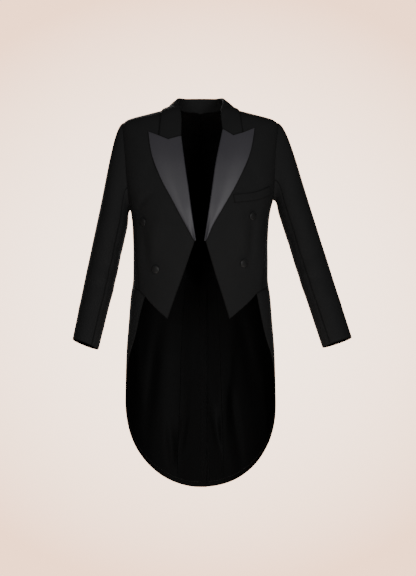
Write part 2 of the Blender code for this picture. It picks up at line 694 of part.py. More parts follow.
def collar_rows(seams, lapels):
    """The collar: a stand behind the neckline, the fold round the neck and a leaf that falls outside."""
    columns = 2 + len(ROLL_TURNS) + CORNER_COLUMN
    crest = 2 + len(ROLL_TURNS) // 2
    ends = [(lapels[name][0][-1, :columns], lapels[name][1][-1, :columns]) for name in ("right", "left")]
    leaf = leaf_edge(ends[0][0][-1], ends[1][0][-1])
    number = np.arange(len(leaf))
    from_end = np.minimum(number, number[::-1])
    near = [np.clip(1 - number / COLLAR_BLEND, 0, 1), np.clip(1 - number[::-1] / COLLAR_BLEND, 0, 1)]
    near = [(n * n * (3 - 2 * n))[:, None] for n in near]
    sewn = collar_neckline(seams)
    sewn_apex = across_edge(sewn, outward(sewn), leaf)
    rise = smooth_table(COLLAR_RISE, from_end)
    fold = level(press(sewn) + sewn_apex * rise)
    centres = in_parts(fold[list(FOLD_ROWS)], (0, 2, 4, 6, 8), COLLAR_QUARTERS)
    apex = unit(unit(centres - leaf) + unit(centres - sewn + CREST_LEAN * sewn_apex))
    along = unit(np.gradient(centres, axis=0))
    apex = unit(apex - (apex * along).sum(axis=1, keepdims=True) * along)
    out = np.cross(along, apex)
    out *= np.sign((out * outward(centres)).sum(axis=1, keepdims=True))
    for (_, end_normals), weight in zip(ends, near):
        apex = unit(apex * (1 - weight) + end_normals[crest] * weight)
        out = unit(out * (1 - weight) + end_normals[crest + 2] * weight)
    tuck = RETURN / 2 * (near[0] + near[1]) - (ROLL_RADIUS + SEAM_GAP) * (1 - near[0] - near[1])
    foot = behind(sewn, sewn_apex, tuck)
    hanging = foot + unit(foot - centres + ROLL_RADIUS * out) * STAND_FOOT
    end_weight = near[0] + near[1]
    hem = behind(sewn, sewn_apex, RETURN) * end_weight + hanging * (1 - end_weight)
    stand = np.stack([hem, foot], axis=1)
    u = np.linspace(0, 1, CORNER_COLUMN + 1)[None, :, None]
    face = (centres + ROLL_RADIUS * out)[:, None] * (1 - u) + leaf[:, None] * u
    face = face + out[:, None] * COLLAR_BELLY * np.sin(np.pi * u) * (1 - near[0] - near[1])[:, None]
    foot = press(face)
    normal = outward(foot)
    height = ((face - foot) * normal).sum(axis=-1, keepdims=True)
    face[:, 1:] += (normal * np.maximum(lapel_lift(u) - height, 0))[:, 1:]
    for (end_grid, _), weight in zip(ends, near):
        row = 0 if weight[0] > 0 else -1
        shift = end_grid[1 + len(ROLL_TURNS) :] - face[row]
        face = face + shift[None] * weight[:, None]
    normals = numeric_normals(face)
    normals *= np.sign((normals * out[:, None]).sum(axis=-1, keepdims=True))
    for (_, end_normals), weight in zip(ends, near):
        end_face = end_normals[None, 1 + len(ROLL_TURNS) :]
        normals = unit(normals * (1 - weight[:, None]) + end_face * weight[:, None])
    return rolled(centres, apex, out, stand, face, normals)


def numeric_normals(grid, wraps=False):
    """Unit normals of a grid of points."""
    if wraps:
        across = np.roll(grid, -1, axis=1) - np.roll(grid, 1, axis=1)
    else:
        across = np.gradient(grid, axis=1)
    return unit(np.cross(across, np.gradient(grid, axis=0)))


# Sleeves

def sleeve_rings(front, sleeve):
    """The whole sleeve as rings of points, from the armhole to the cuff."""
    side = sleeve["side"]
    hole = armhole(front)
    turns = np.linspace(0, math.tau, ARM_STATIONS, endpoint=False)
    top = np.array(sleeve["top"]) * (side, 1, 1)
    cuff = np.array(sleeve["cuff"]) * (side, 1, 1)
    along = unit(cuff - top)
    outer = unit(np.cross((0, side, 0), along))
    outer = outer if outer[0] * side > 0 else -outer
    forward = unit(np.cross(outer, along))
    forward = forward if forward[1] < 0 else -forward

    def ring(share):
        width = np.interp(share, (0, 0.5, 1), sleeve["half_width"])
        depth = np.interp(share, (0, 0.5, 1), sleeve["half_depth"])
        bow = np.array((0, ELBOW_BOW * math.sin(math.pi * share), 0))
        middle = top + (cuff - top) * share + bow
        across = (width * np.cos(turns))[:, None]
        made = middle + outer * across + forward * (depth * np.sin(turns))[:, None]
        tilt = sleeve["hem_tilt"] * max(0.0, share - HEM_TILT_FROM) / (1 - HEM_TILT_FROM)
        return made - along * tilt * across

    rings = [ring(share) for share in np.linspace(0, 1, ARM_ROWS + 1)]
    leaves = np.array((side, 0, 0), float)
    normal = outward(hole)
    into = np.cross(np.roll(hole, -1, axis=0) - np.roll(hole, 1, axis=0), normal)
    into = unit(into)
    into *= np.sign(((hole.mean(axis=0) - hole) * into).sum(axis=1, keepdims=True))
    turned = np.clip((leaves * normal).sum(axis=1, keepdims=True), 0, 1)
    start = hole + into * (SEAM_GAP + CLOTH / 2 * turned)
    reach = np.linalg.norm(rings[0] - start, axis=1, keepdims=True)
    pull, push = sleeve["head"] + CAP_PULL * reach, CAP_PUSH * reach
    cap = []
    for t in CAP_STEPS[:-1]:
        ends = start * (2 * t**3 - 3 * t**2 + 1) + rings[0] * (3 * t**2 - 2 * t**3)
        cap.append(ends + leaves * pull * (t**3 - 2 * t**2 + t) + along * push * (t**3 - t**2))
    return np.array(cap + rings)


def crease_lift(rows):
    """How far the sleeve's cloth stands out in its soft creases."""
    caps = len(CAP_STEPS) - 1
    down = np.clip((np.arange(rows) - caps) / ARM_ROWS, 0, 1)[:, None]
    turn = np.degrees(np.linspace(0, math.tau, ARM_STATIONS, endpoint=False))[None, :]
    lift = np.zeros((rows, ARM_STATIONS))
    for along, centre, slant, length, breadth, height in CREASES:
        off = (turn - centre) / length
        away = (down - along - CREASE_SLANT * slant * off * breadth) / breadth
        lift += height * np.exp(-(off**2) - away**2)
    return lift * (down > 0)


def sleeve_pieces(name, front, sleeve):
    """The top sleeve and the under sleeve, with a seam in front of and behind the arm."""
    rings = sleeve_rings(front, sleeve)
    normals = numeric_normals(rings, wraps=True)
    middle = rings.mean(axis=1, keepdims=True)
    normals *= np.sign(((rings - middle) * normals).sum(axis=-1, keepdims=True))
    rings = rings + normals * crease_lift(len(rings))[..., None]
    spans = {
        "top_sleeve": range(UNDER_END, UNDER_START + ARM_STATIONS + 1),
        "under_sleeve": range(UNDER_START, UNDER_END + 1),
    }
    for kind, span in spans.items():
        picked = [k % ARM_STATIONS for k in span]
        grid = set_back(rings[:, picked], SEAM_GAP / 2, "left right")
        place(f"{kind}_{name}", wall_mesh(f"{kind}_{name}", grid, normals[:, picked], CLOTH), "wool")


# Small pieces

def button_mesh():
    """A covered button with its shank, turned from one profile."""
    points = [(BUTTON_RADIUS * share, 0, height) for share, height in BUTTON_PROFILE]
    mesh = bpy.data.meshes.new("button_profile")
    mesh.from_pydata(points, [(k, k + 1) for k in range(len(points) - 1)], [])
    turned = bpy.data.objects.new("button_profile", mesh)
    bpy.context.scene.collection.objects.link(turned)
    screw = turned.modifiers.new("turn", "SCREW")
    screw.steps = screw.render_steps = BUTTON_TURNS
    screw.use_merge_vertices = True
    screw.merge_threshold = 0.00005
    made = bpy.data.meshes.new_from_object(turned.evaluated_get(bpy.context.evaluated_depsgraph_get()))
    bpy.data.objects.remove(turned)
    made.materials.clear()
    made.materials.append(material("button"))
    made.name = "button"
    return made


def sew_button(name, mesh, panel, x, z, facing):
    """Seats a button on a panel's outer face, seen at (x, z) from the front (-1) or the back (1)."""
    surface = panel.data
    tree = BVHTree.FromPolygons([v.co for v in surface.vertices], [p.vertices for p in surface.polygons])
    point, normal, _, _ = tree.ray_cast(Vector((x, facing, z)), Vector((0, -facing, 0)))
    piece = bpy.data.objects.new(name, mesh)
    COAT.objects.link(piece)
    piece.rotation_mode = "QUATERNION"
    piece.rotation_quaternion = normal.to_track_quat("Z", "Y")
    piece.location = point + normal * SEAM_GAP
    return piece


def welt_piece():
    """The breast pocket's welt, laid on the left front."""
    top = through([seen_at(x, z, -1) for x, z in WELT_TOP], WELT_COLUMNS)
    foot = [seen_at(x + WELT_SLANT, z - WELT_DEPTH, -1) for x, z in WELT_TOP]
    foot = through(foot, WELT_COLUMNS)
    ends = [np.linspace(foot[k], top[k], 3) for k in (0, -1)]
    grid = press(stretch(foot, top, ends[0], ends[1]))
    normals = outward(grid)
    grid = grid + normals * (CLOTH / 2 + SEAM_GAP + WELT_WALL / 2)
    return place("breast_welt", wall_mesh("breast_welt", grid, normals, WELT_WALL), "wool")


# The coat

def clear_scene():
    """Takes out whatever the file opened with."""
    for old in list(bpy.data.objects):
        bpy.data.objects.remove(old)


def flat_lift(points):
    """The body's panels lie on the form itself."""
    return np.zeros(points.shape[:-1])


def make_coat():
    """Makes every piece of both sides, then the collar and what is sewn on."""
    lapels, panels, seams = {}, {}, {}
    for name, front in FRONTS.items():
        side = front["side"]
        lines = seams[name] = seams_of(front)

        def tail_lift(points, side=side):
            return flute_lift(points) + vent_lift(points, side)

        panels[f"front_{name}"] = body_piece(f"front_{name}", front_grid(lines), flat_lift)
        body_piece(f"side_body_{name}", side_grid(lines), flat_lift)
        back = back_grid(lines, side)
        panels[f"back_{name}"] = body_piece(f"back_{name}", back, tail_lift)
        skirt = skirt_grid(lines)
        body_piece(f"skirt_{name}", skirt, flute_lift)
        margins = (LINING_MARGIN, LINING_TUCK, LINING_MARGIN, LINING_SEAM)
        lining_piece(f"skirt_lining_{name}", skirt, flute_lift, margins)
        lapels[name] = lapel_rows(front, lines)
        grid, normals = lapels[name]
        grid = set_back(grid, SEAM_GAP / 2, "top")
        place(f"lapel_{name}", wall_mesh(f"lapel_{name}", grid, normals, LAPEL_WALL), "satin")
        sleeve_pieces(name, front, SLEEVES[name])
        strip = back[: TAIL_ROWS + 1, VENT_COLUMNS if side > 0 else INNER_VENT_COLUMNS :]
        margins = (LINING_MARGIN, LINING_TUCK, 0.0, LINING_SEAM)
        lining_piece(f"back_lining_{name}", strip, tail_lift, margins)
    grid, normals = collar_rows(seams, lapels)
    grid = set_back(grid, SEAM_GAP / 2, "bottom top")
    place("collar", wall_mesh("collar", grid, normals, LAPEL_WALL), "wool")
    welt_piece()
    mesh = button_mesh()
    for name, front in FRONTS.items():
        side = front["side"]
        for k, (x, z) in enumerate(front["buttons"]):
            sew_button(f"front_button_{name}_{k + 1}", mesh, panels[f"front_{name}"], side * x, z, -1)
        x, z = BACK_BUTTON
        sew_button(f"back_button_{name}", mesh, panels[f"back_{name}"], side * x, z, 1)


clear_scene()
COAT = bpy.data.collections.new("tailcoat")
bpy.context.scene.collection.children.link(COAT)
make_coat()
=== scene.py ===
"""The looks of a black evening tailcoat, filled out as it is worn but with no wearer in it.

The cloth is made from the same sizes and seams as the part's source, DETAIL times as fine, so
every piece lies where its solid does. Then it gets turned edges, creases, stitches and finishes.
Metres, +Z up. The front faces -Y, and the wearer's left is +X.
"""

import math

import bmesh
import bpy
import numpy as np
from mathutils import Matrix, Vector
from mathutils.bvhtree import BVHTree


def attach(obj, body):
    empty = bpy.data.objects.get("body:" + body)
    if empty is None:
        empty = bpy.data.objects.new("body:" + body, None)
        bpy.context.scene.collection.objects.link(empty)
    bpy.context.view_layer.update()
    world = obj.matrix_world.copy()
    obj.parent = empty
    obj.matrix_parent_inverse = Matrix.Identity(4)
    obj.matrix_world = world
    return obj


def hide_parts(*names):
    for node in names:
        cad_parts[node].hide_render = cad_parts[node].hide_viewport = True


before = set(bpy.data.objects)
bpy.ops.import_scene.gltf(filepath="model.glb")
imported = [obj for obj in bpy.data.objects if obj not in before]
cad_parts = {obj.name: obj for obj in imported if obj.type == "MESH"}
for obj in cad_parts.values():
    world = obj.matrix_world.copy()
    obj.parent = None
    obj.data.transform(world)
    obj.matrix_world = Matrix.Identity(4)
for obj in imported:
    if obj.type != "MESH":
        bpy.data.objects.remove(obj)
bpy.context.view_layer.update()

# Driving sizes

DETAIL = 4  # how many times as fine as the solids the cloth is made
CLOTH = 0.0020  # wall of the body, tails and sleeves
LAPEL_WALL = 0.0024
LINING_WALL = 0.0010
WELT_WALL = 0.0016
SEAM_GAP = 0.0003  # between a lapel's layers, and under what is laid on the cloth
SEWN = -0.00005  # pieces sewn together just meet, so that no light passes between them
ROLL_RADIUS = 0.0026  # of the collar's and lapels' fold, at the middle of its wall
WAIST_BACK_Z = -0.478
TAIL_HALF_WIDTH = 0.2105
TAIL_ROUND_Z = -0.826  # where the tails' straight edges turn into the rounded hem
TAIL_END_Z = -1.0764
HEM_FULLNESS = {1: 2.22, -1: 2.08}  # 2 is an ellipse, more is squarer
VENT_LAP = 0.018  # each tail passes the middle of the back by this much
VENT_TOP_Z = -0.500
VENT_START, VENT_CLOSING = -0.012, 0.032  # near the vent's top the tails come together
VENT_MARGIN, VENT_FADING = 0.006, 0.030  # and so they do to each side of the lap
VENT_CLEAR = 0.0007  # half of the gap between the outer tail and the inner one
VENT_COLUMNS = 5 * DETAIL  # columns of the outer tail that lie over the inner one
INNER_VENT_COLUMNS = 2 * DETAIL
LINING_MARGIN = 0.014  # from the lining to the edge of the cloth
LINING_TUCK = 0.004  # from the lining to the waist seam
LINING_SEAM = 0.0002  # from the lining to the seam between a tail's skirt and its strip
BUTTON_RADIUS = 0.0108
SPINE_TOP_Z = -0.25  # rays leave the body's axis level below this height, and from here above it

# How many stretches each seam is divided into

SIDE_ROWS = 11 * DETAIL  # waist to armhole
TAIL_ROWS = 12 * DETAIL
SHOULDER_COLUMNS = 7 * DETAIL
NECK_COLUMNS = 3 * DETAIL
STRAP_COLUMNS = 3 * DETAIL  # front of the waist seam
HEM_COLUMNS = 4 * DETAIL  # cut-away bottom edge of a front
EDGE_ROWS = 6 * DETAIL  # front edge below the lapel
ROLL_ROWS = 11 * DETAIL
NECKLINE_ROWS = 4 * DETAIL  # gorge to shoulder
ARM_STATIONS = 24 * DETAIL  # all round an armhole
FRONT_STATION, BACK_STATION = 10 * DETAIL, 17 * DETAIL  # where the side body's seams meet the armhole
UNDER_START, UNDER_END = 8 * DETAIL, 17 * DETAIL  # the sleeve's two seams, in stations
ARM_ROWS = 10 * DETAIL
FACE_COLUMNS = 9 * DETAIL  # from the roll to a lapel's outer edge
INLAND_COLUMN = 2 * DETAIL  # of a lapel's face, to tell which way its roll looks
NOTCH_COLUMN, CORNER_COLUMN = 3 * DETAIL, 6 * DETAIL  # where the collar's leaf meets the lapel
RETURN = 0.008  # how far a lapel's facing turns in behind the front
RETURN_CLEAR = 0.0002
LAPEL_BELLY, LAPEL_FLARE = 0.0022, 0.0018  # how far a lapel stands off in its middle and at its edge
ROLL_TURNS = tuple(np.linspace(-90, 90, 9))
COLLAR_QUARTERS = tuple(DETAIL * rows for rows in (8, 7, 7, 8))  # gorge, shoulder, back, and on round
COLLAR_BLEND = 4 * DETAIL  # rows over which the collar takes up the lapel's section
COLLAR_RISE = ((0, 0.0), (2, 0.003), (5, 0.012), (8, 0.028), (12, 0.039), (15, 0.043))  # of the fold
FOLD_ROWS = (0, 4, 8, 12, 15, 18, 22, 26, 30)  # the fold is a smooth curve through these
FOLD_KNOTS = (0, 2, 4, 6, 8)  # which of those rows end a quarter
STAND_FOOT = 0.006  # the stand reaches below the neckline by this much
COLLAR_BELLY = 0.0010
CREST_LEAN = 0.004
LEAF_BACK = (0.0, 0.0870, -0.0240)
LEAF_HIP = (0.66, 0.76)  # how far out and back the leaf is, halfway from the shoulder to the back
CAP_SHARES = (0.0, 0.08, 0.20, 0.36, 0.55, 0.77, 1.0)  # rows of the sleeve cap
CAP_STEPS = np.interp(np.arange(6 * DETAIL + 1) / DETAIL, range(len(CAP_SHARES)), CAP_SHARES)
WELT_TOP = ((0.0890, -0.2500), (0.1523, -0.2411), (0.1900, -0.2245))
WELT_DEPTH = 0.024
WELT_SLANT = 0.004
WELT_COLUMNS, WELT_ROWS = 12 * DETAIL, 2 * DETAIL
BACK_BUTTON = (0.030, -0.470)
STAND_COLUMNS = 2  # of a folded piece, behind its fold
FOLD_CREST = STAND_COLUMNS + len(ROLL_TURNS) // 2
FOLD_END = STAND_COLUMNS + len(ROLL_TURNS) - 1

# How finely curves are followed before they are divided

CURVE_SAMPLES = 40  # for each point that a curve goes through
FINE_CURVE = 2000
HEM_SAMPLES = 400
FORM_LEVELS = 1200
PRESS_LIMITS = (0.2, 3.0)
PRESS_HALVINGS = 44
FORM_STEP = 0.0008  # over which the form's slope is measured
NO_LENGTH, SHORTEST_STEP = 1e-12, 1e-7

# The body's form, as level sections

FORM = (
    # height, half width, front depth, back depth, fullness (2 is an ellipse, more is squarer)
    (0.060, 0.0570, 0.044, 0.052, 2.00),
    (0.025, 0.0620, 0.046, 0.060, 2.00),
    (0.000, 0.0780, 0.050, 0.066, 2.00),
    (-0.006, 0.0880, 0.051, 0.067, 2.05),
    (-0.020, 0.1400, 0.056, 0.076, 2.15),
    (-0.036, 0.1990, 0.063, 0.086, 2.20),
    (-0.045, 0.2130, 0.068, 0.091, 2.25),
    (-0.060, 0.2195, 0.076, 0.099, 2.30),
    (-0.100, 0.2220, 0.094, 0.113, 2.30),
    (-0.150, 0.2195, 0.112, 0.123, 2.30),
    (-0.200, 0.2150, 0.123, 0.127, 2.30),
    (-0.250, 0.2050, 0.130, 0.124, 2.30),
    (-0.300, 0.1930, 0.134, 0.117, 2.30),
    (-0.375, 0.1875, 0.132, 0.103, 2.30),
    (-0.430, 0.1868, 0.126, 0.094, 2.30),
    (-0.480, 0.1872, 0.121, 0.092, 2.30),
    (-0.530, 0.1940, 0.119, 0.100, 2.30),
    (-0.600, 0.1996, 0.121, 0.116, 2.30),
    (-0.680, 0.2060, 0.120, 0.126, 2.30),
    (-0.750, 0.2085, 0.118, 0.130, 2.30),
    (-0.850, 0.2105, 0.118, 0.133, 2.30),
    (-1.090, 0.2110, 0.118, 0.140, 2.30),
)

# Places on each front, as (distance from the middle, height) seen from the front. A leaf's
# places are (distance from the middle, depth, height).

FRONTS = {
    "left": {
        "side": 1,
        "roll": (
            (0.0138, -0.378), (0.0240, -0.310), (0.0342, -0.240),
            (0.0450, -0.165), (0.0640, -0.0700),
        ),
        "edge": ((0.0800, -0.5920), (0.0590, -0.525), (0.0380, -0.459), (0.0138, -0.378)),
        "bottom": ((0.0800, -0.5920), (0.1551, -0.5222)),
        "lapel_top": ((0.0640, -0.0700), (0.0902, -0.0875), (0.1170, -0.0795), (0.1490, -0.0654)),
        "lapel_edge": (
            (0.0185, -0.372), (0.0333, -0.3377), (0.0642, -0.2828), (0.0882, -0.2408),
            (0.1173, -0.1824), (0.1368, -0.1322), (0.1490, -0.0654),
        ),
        "neckline": ((0.0640, -0.0700), (0.0645, -0.044), (0.0685, -0.018)),
        "leaf": ((0.0970, 0.0020, -0.0050), (0.1075, -0.0420, -0.0330)),
        "buttons": ((0.1423, -0.3084), (0.1178, -0.4389)),
        "armhole_low": -0.262,
    },
    "right": {
        "side": -1,
        "roll": (
            (0.0149, -0.378), (0.0250, -0.310), (0.0348, -0.240),
            (0.0458, -0.165), (0.0560, -0.0886),
        ),
        "edge": ((0.0902, -0.5921), (0.0670, -0.525), (0.0430, -0.459), (0.0149, -0.378)),
        "bottom": ((0.0902, -0.5921), (0.1532, -0.5300)),
        "lapel_top": ((0.0560, -0.0886), (0.0881, -0.0986), (0.1145, -0.0876), (0.1430, -0.0759)),
        "lapel_edge": (
            (0.0196, -0.372), (0.0476, -0.3204), (0.0764, -0.2655), (0.1010, -0.2200),
            (0.1179, -0.1824), (0.1340, -0.1350), (0.1430, -0.0759),
        ),
        "neckline": ((0.0560, -0.0886), (0.0600, -0.052), (0.0670, -0.020)),
        "leaf": ((0.0966, 0.0020, -0.0080), (0.1070, -0.0440, -0.0420)),
        "buttons": ((0.1560, -0.3245), (0.1216, -0.4557)),
        "armhole_low": -0.290,
    },
}
BACK_SEAM = ((0.045, WAIST_BACK_Z), (0.056, -0.400), (0.082, -0.310), (0.122, -0.240))
TAIL_SEAM = ((0.062, -0.900), (0.056, -0.700), (0.048, -0.560), (0.045, WAIST_BACK_Z))
TAIL_SEAM_FOOT = 0.068  # where it meets the hem, from the middle
SIDE_SEAM_LOW = (0.170, -0.512)
SIDE_SEAM_BOW = 0.004
WAIST_MIDDLE = ((0.1872, -0.497), (0.110, -0.484))
TAIL_EDGE = ((0.2015, -0.7100), (0.1820, -0.6450), (0.1655, -0.5735))
BACK_MIDDLE = ((0, 0.09, WAIST_BACK_Z), (0, 0.11, -0.35), (0, 0.125, -0.20), (0, 0.11, -0.09))
SHOULDER = (0.2130, 0.0, -0.0450)
SHOULDER_MIDDLE = (0.145, 0.0, -0.0212)
NECK_SIDE = (0.0780, 0.0, 0.0)
NECK_HIP = ((0.046, 0.0560, -0.0095), (0.070, 0.026, -0.003))
NECK_BACK = (0.0, 0.0700, -0.0120)

# Soft flutes in the tails

FLUTES = (
    # the crest's angle round the back from its middle, width in degrees, height at the hem
    (-64.0, 17.0, 0.0065),
    (-33.0, 13.0, 0.0050),
    (30.0, 14.0, 0.0060),
    (57.0, 11.0, 0.0045),
    (78.0, 12.0, 0.0050),
)
FLUTE_TOP_Z = -0.60
FLUTE_SINK = 0.0025  # the tails fall in by this much between the crests, at the hem
FLUTE_GROWTH = 1.3  # 1 grows evenly down the tail, more grows mostly near the hem

# Each sleeve: the middle of its section level with the armpit and at the cuff, and its sizes there

SLEEVES = {
    "left": {
        "side": 1,
        "top": (0.2618, 0.006, -0.2858),
        "cuff": (0.3802, -0.040, -0.6593),
        "half_width": (0.0441, 0.0436, 0.0424),
        "half_depth": (0.0640, 0.0590, 0.0520),
        "hem_tilt": 0.02,
        "head": 0.032,
    },
    "right": {
        "side": -1,
        "top": (0.2470, 0.006, -0.3295),
        "cuff": (0.3196, -0.040, -0.6641),
        "half_width": (0.0423, 0.0410, 0.0375),
        "half_depth": (0.0640, 0.0590, 0.0520),
        "hem_tilt": 0.15,
        "head": 0.022,
    },
}
ARMHOLE_FRONT, ARMHOLE_BACK = 0.045, 0.055  # its half-depths
ARMHOLE_EGG = 0.22  # how much wider it is low down
ELBOW_BOW = 0.012
HEM_TILT_FROM = 0.7  # of the way down the sleeve, where its rings begin to tilt
CAP_PULL, CAP_PUSH = 0.20, 1.25  # how far the cap carries on out of the shoulder, and into the arm
TUCK_DEPTH, TUCK_WIDTH = 0.0023, 0.0050  # the sleeve's seam allowance, under the body's edge

# Creases of a sleeve

CREASE_SLANT = 4  # breadths that a crease with a slant of 1 runs down in its own length
CREASES = (
    # share of the way down, degrees round the sleeve, slant, length in degrees, breadth, height
    (0.30, 115.0, 0.35, 70.0, 0.060, 0.0022),
    (0.46, 95.0, 0.20, 60.0, 0.055, 0.0028),
    (0.60, 125.0, -0.30, 65.0, 0.060, 0.0022),
    (0.40, 285.0, -0.25, 60.0, 0.060, 0.0020),
    (0.12, 70.0, 0.60, 45.0, 0.035, 0.0016),
    (0.20, 150.0, 0.40, 40.0, 0.022, -0.0018),
    (0.37, 60.0, 0.25, 38.0, 0.020, -0.0014),
    (0.53, 100.0, -0.15, 42.0, 0.020, -0.0018),
    (0.71, 50.0, -0.20, 50.0, 0.028, 0.0012),
    (0.50, 250.0, 0.20, 50.0, 0.024, -0.0016),
    (0.61, 300.0, -0.20, 55.0, 0.026, 0.0014),
    (0.84, 230.0, 0.15, 45.0, 0.022, 0.0010),
)

# Creases of the body and tails

CREASE_STRENGTH = 1.9
BODY_CREASES = (
    # degrees round from the front's middle towards the wearer's left, height, slant in degrees
    # from upright, half length, half breadth, how far out
    (57.0, -0.370, 3.0, 0.080, 0.015, -0.0036),
    (44.0, -0.330, -10.0, 0.070, 0.018, 0.0016),
    (70.0, -0.440, 8.0, 0.060, 0.012, 0.0018),
    (36.0, -0.475, 24.0, 0.060, 0.017, 0.0014),
    (52.0, -0.170, -28.0, 0.045, 0.014, -0.0014),
    (-59.0, -0.262, 50.0, 0.026, 0.008, -0.0022),
    (-62.0, -0.400, -5.0, 0.080, 0.019, -0.0026),
    (-48.0, -0.350, 12.0, 0.080, 0.020, 0.0016),
    (-33.0, -0.490, -22.0, 0.055, 0.016, 0.0014),
    (-50.0, -0.160, 30.0, 0.050, 0.015, -0.0013),
    (98.0, -0.400, 12.0, 0.060, 0.013, 0.0020),
    (-101.0, -0.420, -9.0, 0.065, 0.014, 0.0018),
    (142.0, -0.190, 38.0, 0.055, 0.013, -0.0024),
    (151.0, -0.290, 14.0, 0.090, 0.020, 0.0022),
    (172.0, -0.430, 78.0, 0.050, 0.010, -0.0016),
    (-160.0, -0.310, -12.0, 0.085, 0.018, 0.0024),
    (-139.0, -0.205, -40.0, 0.050, 0.012, -0.0022),
    (-171.0, -0.395, 83.0, 0.060, 0.011, 0.0014),
    (178.0, -0.110, 88.0, 0.070, 0.012, -0.0012),
    (128.0, -0.660, 6.0, 0.120, 0.016, -0.0026),
    (150.0, -0.820, -5.0, 0.150, 0.013, 0.0030),
    (141.0, -0.900, 7.0, 0.120, 0.010, -0.0026),
    (160.0, -0.930, 10.0, 0.110, 0.011, -0.0024),
    (113.0, -0.800, 4.0, 0.110, 0.012, 0.0022),
    (-158.0, -0.930, -9.0, 0.110, 0.012, 0.0026),
    (-147.0, -0.960, 6.0, 0.080, 0.009, -0.0022),
    (-126.0, -0.760, -4.0, 0.150, 0.016, -0.0024),
    (-112.0, -0.700, 5.0, 0.110, 0.013, 0.0020),
)

# Extra lines of points near each edge, where the cloth turns over: their distance from it, and
# the most that may be of the way to the next line

EDGE_LINES = ((0.0005, 0.20), (0.0013, 0.40), (0.0030, 0.65))
RIM_SHARE = 0.30  # of the wall's thickness is left at its very edge
SEAM_DIP = 0.0005  # the cloth is pressed in along each seam
SEAM_DIP_WIDTH = 0.0028
TURNED_SHARE = 0.7  # of the wall's thickness is the width over which its edge turns
SETTLING = 0.006  # this far from its edges, a panel's normals are its own
INSET_LIMIT = 3  # a lining's margin is at most one of so many parts of the panel


# Curves

def eased(t):
    """A share of 0 to 1, slowed at both ends."""
    return t * t * (3 - 2 * t)


def cubic(start, end, leaving, arriving, t):
    """A curve from start to end at a share t, with its slopes where it leaves and arrives."""
    ends = start * (2 * t**3 - 3 * t**2 + 1) + end * (3 * t**2 - 2 * t**3)
    return ends + leaving * (t**3 - 2 * t**2 + t) + arriving * (t**3 - t**2)


def smooth_table(rows, at):
    """The columns of a table of numbers, read at the given values of its first column."""
    rows = np.array(sorted(rows), float)
    x, y = rows[:, 0], rows[:, 1:]
    gap = np.diff(x)[:, None]
    rise = np.diff(y, axis=0) / gap
    slope = np.vstack([rise[:1], (rise[:-1] + rise[1:]) / 2, rise[-1:]])
    same = np.vstack([np.ones_like(rise[:1]), rise[:-1] * rise[1:], np.ones_like(rise[:1])]) > 0
    limit = 3 * np.minimum(np.abs(np.vstack([rise[:1], rise])), np.abs(np.vstack([rise, rise[-1:]])))
    slope = np.where(same, np.clip(slope, -limit, limit), 0)
    at = np.clip(np.asarray(at, float), x[0], x[-1])
    i = np.clip(np.searchsorted(x, at) - 1, 0, len(x) - 2)
    step = (x[i + 1] - x[i])[..., None]
    t = (at - x[i])[..., None] / step
    return cubic(y[i], y[i + 1], step * slope[i], step * slope[i + 1], t)


def through(points, stretches):
    """Evenly spaced points along one smooth curve through the given points."""
    points = np.array(points, float)
    run = np.r_[0, np.cumsum(np.linalg.norm(np.diff(points, axis=0), axis=1))]
    if len(points) > 2:
        slope = np.gradient(points, run, axis=0)
    else:
        slope = np.tile((points[1] - points[0]) / run[1], (2, 1))
    fine = np.linspace(0, run[-1], CURVE_SAMPLES * len(points))
    i = np.clip(np.searchsorted(run, fine) - 1, 0, len(points) - 2)
    step = (run[i + 1] - run[i])[:, None]
    t = (fine - run[i])[:, None] / step
    curve = cubic(points[i], points[i + 1], step * slope[i], step * slope[i + 1], t)
    return evenly(curve, stretches)


def evenly(curve, stretches):
    """The same polyline with its points spaced evenly."""
    run = np.r_[0, np.cumsum(np.linalg.norm(np.diff(curve, axis=0), axis=1))]
    at = np.linspace(0, run[-1], stretches + 1)
    return np.stack([np.interp(at, run, curve[:, k]) for k in range(curve.shape[1])], axis=1)


def chain(*lines):
    """One polyline from several that meet end to end."""
    return np.vstack([lines[0]] + [line[1:] for line in lines[1:]])


def unit(vectors):
    return vectors / np.maximum(np.linalg.norm(vectors, axis=-1, keepdims=True), NO_LENGTH)


def facing_with(vectors, way):
    """The vectors, each turned round where it points against its way."""
    return vectors * np.sign((vectors * way).sum(axis=-1, keepdims=True))


def square_to(vectors, along):
    """The vectors less their parts along unit vectors."""
    return vectors - (vectors * along).sum(axis=-1, keepdims=True) * along


def on_side(point, side):
    """A place of the wearer's left as it is, or mirrored for the right."""
    return np.array(point, float) * (side, 1, 1)


# The form

LEVELS = np.linspace(FORM[-1][0], FORM[0][0], FORM_LEVELS)
SECTIONS = smooth_table(FORM, LEVELS)


def section(z):
    """Half width, front depth, back depth and fullness of the form at each height."""
    return [np.interp(z, LEVELS, SECTIONS[:, k]) for k in range(4)]


def swell(points):
    """Below 1 inside the form, 1 on it and above 1 outside."""
    wide, front, back, full = section(points[..., 2])
    deep = np.where(points[..., 1] < 0, front, back)
    total = np.abs(points[..., 0] / wide) ** full + np.abs(points[..., 1] / deep) ** full
    return total ** (1 / full)


def press(points):
    """The points moved onto the form, along rays from its spine."""
    points = np.asarray(points, float)
    spine = np.zeros_like(points)
    spine[..., 2] = np.minimum(points[..., 2], SPINE_TOP_Z)
    ray = points - spine
    low, high = [np.full(points.shape[:-1], limit) for limit in PRESS_LIMITS]
    for _ in range(PRESS_HALVINGS):
        middle = (low + high) / 2
        inside = swell(spine + ray * middle[..., None]) < 1
        low, high = np.where(inside, middle, low), np.where(inside, high, middle)
    return spine + ray * low[..., None]


def outward(points):
    """Unit normals of the form at points near it."""
    slopes = []
    for axis in range(3):
        shift = np.zeros(3)
        shift[axis] = FORM_STEP
        slopes.append(swell(points + shift) - swell(points - shift))
    return unit(np.stack(slopes, axis=-1))


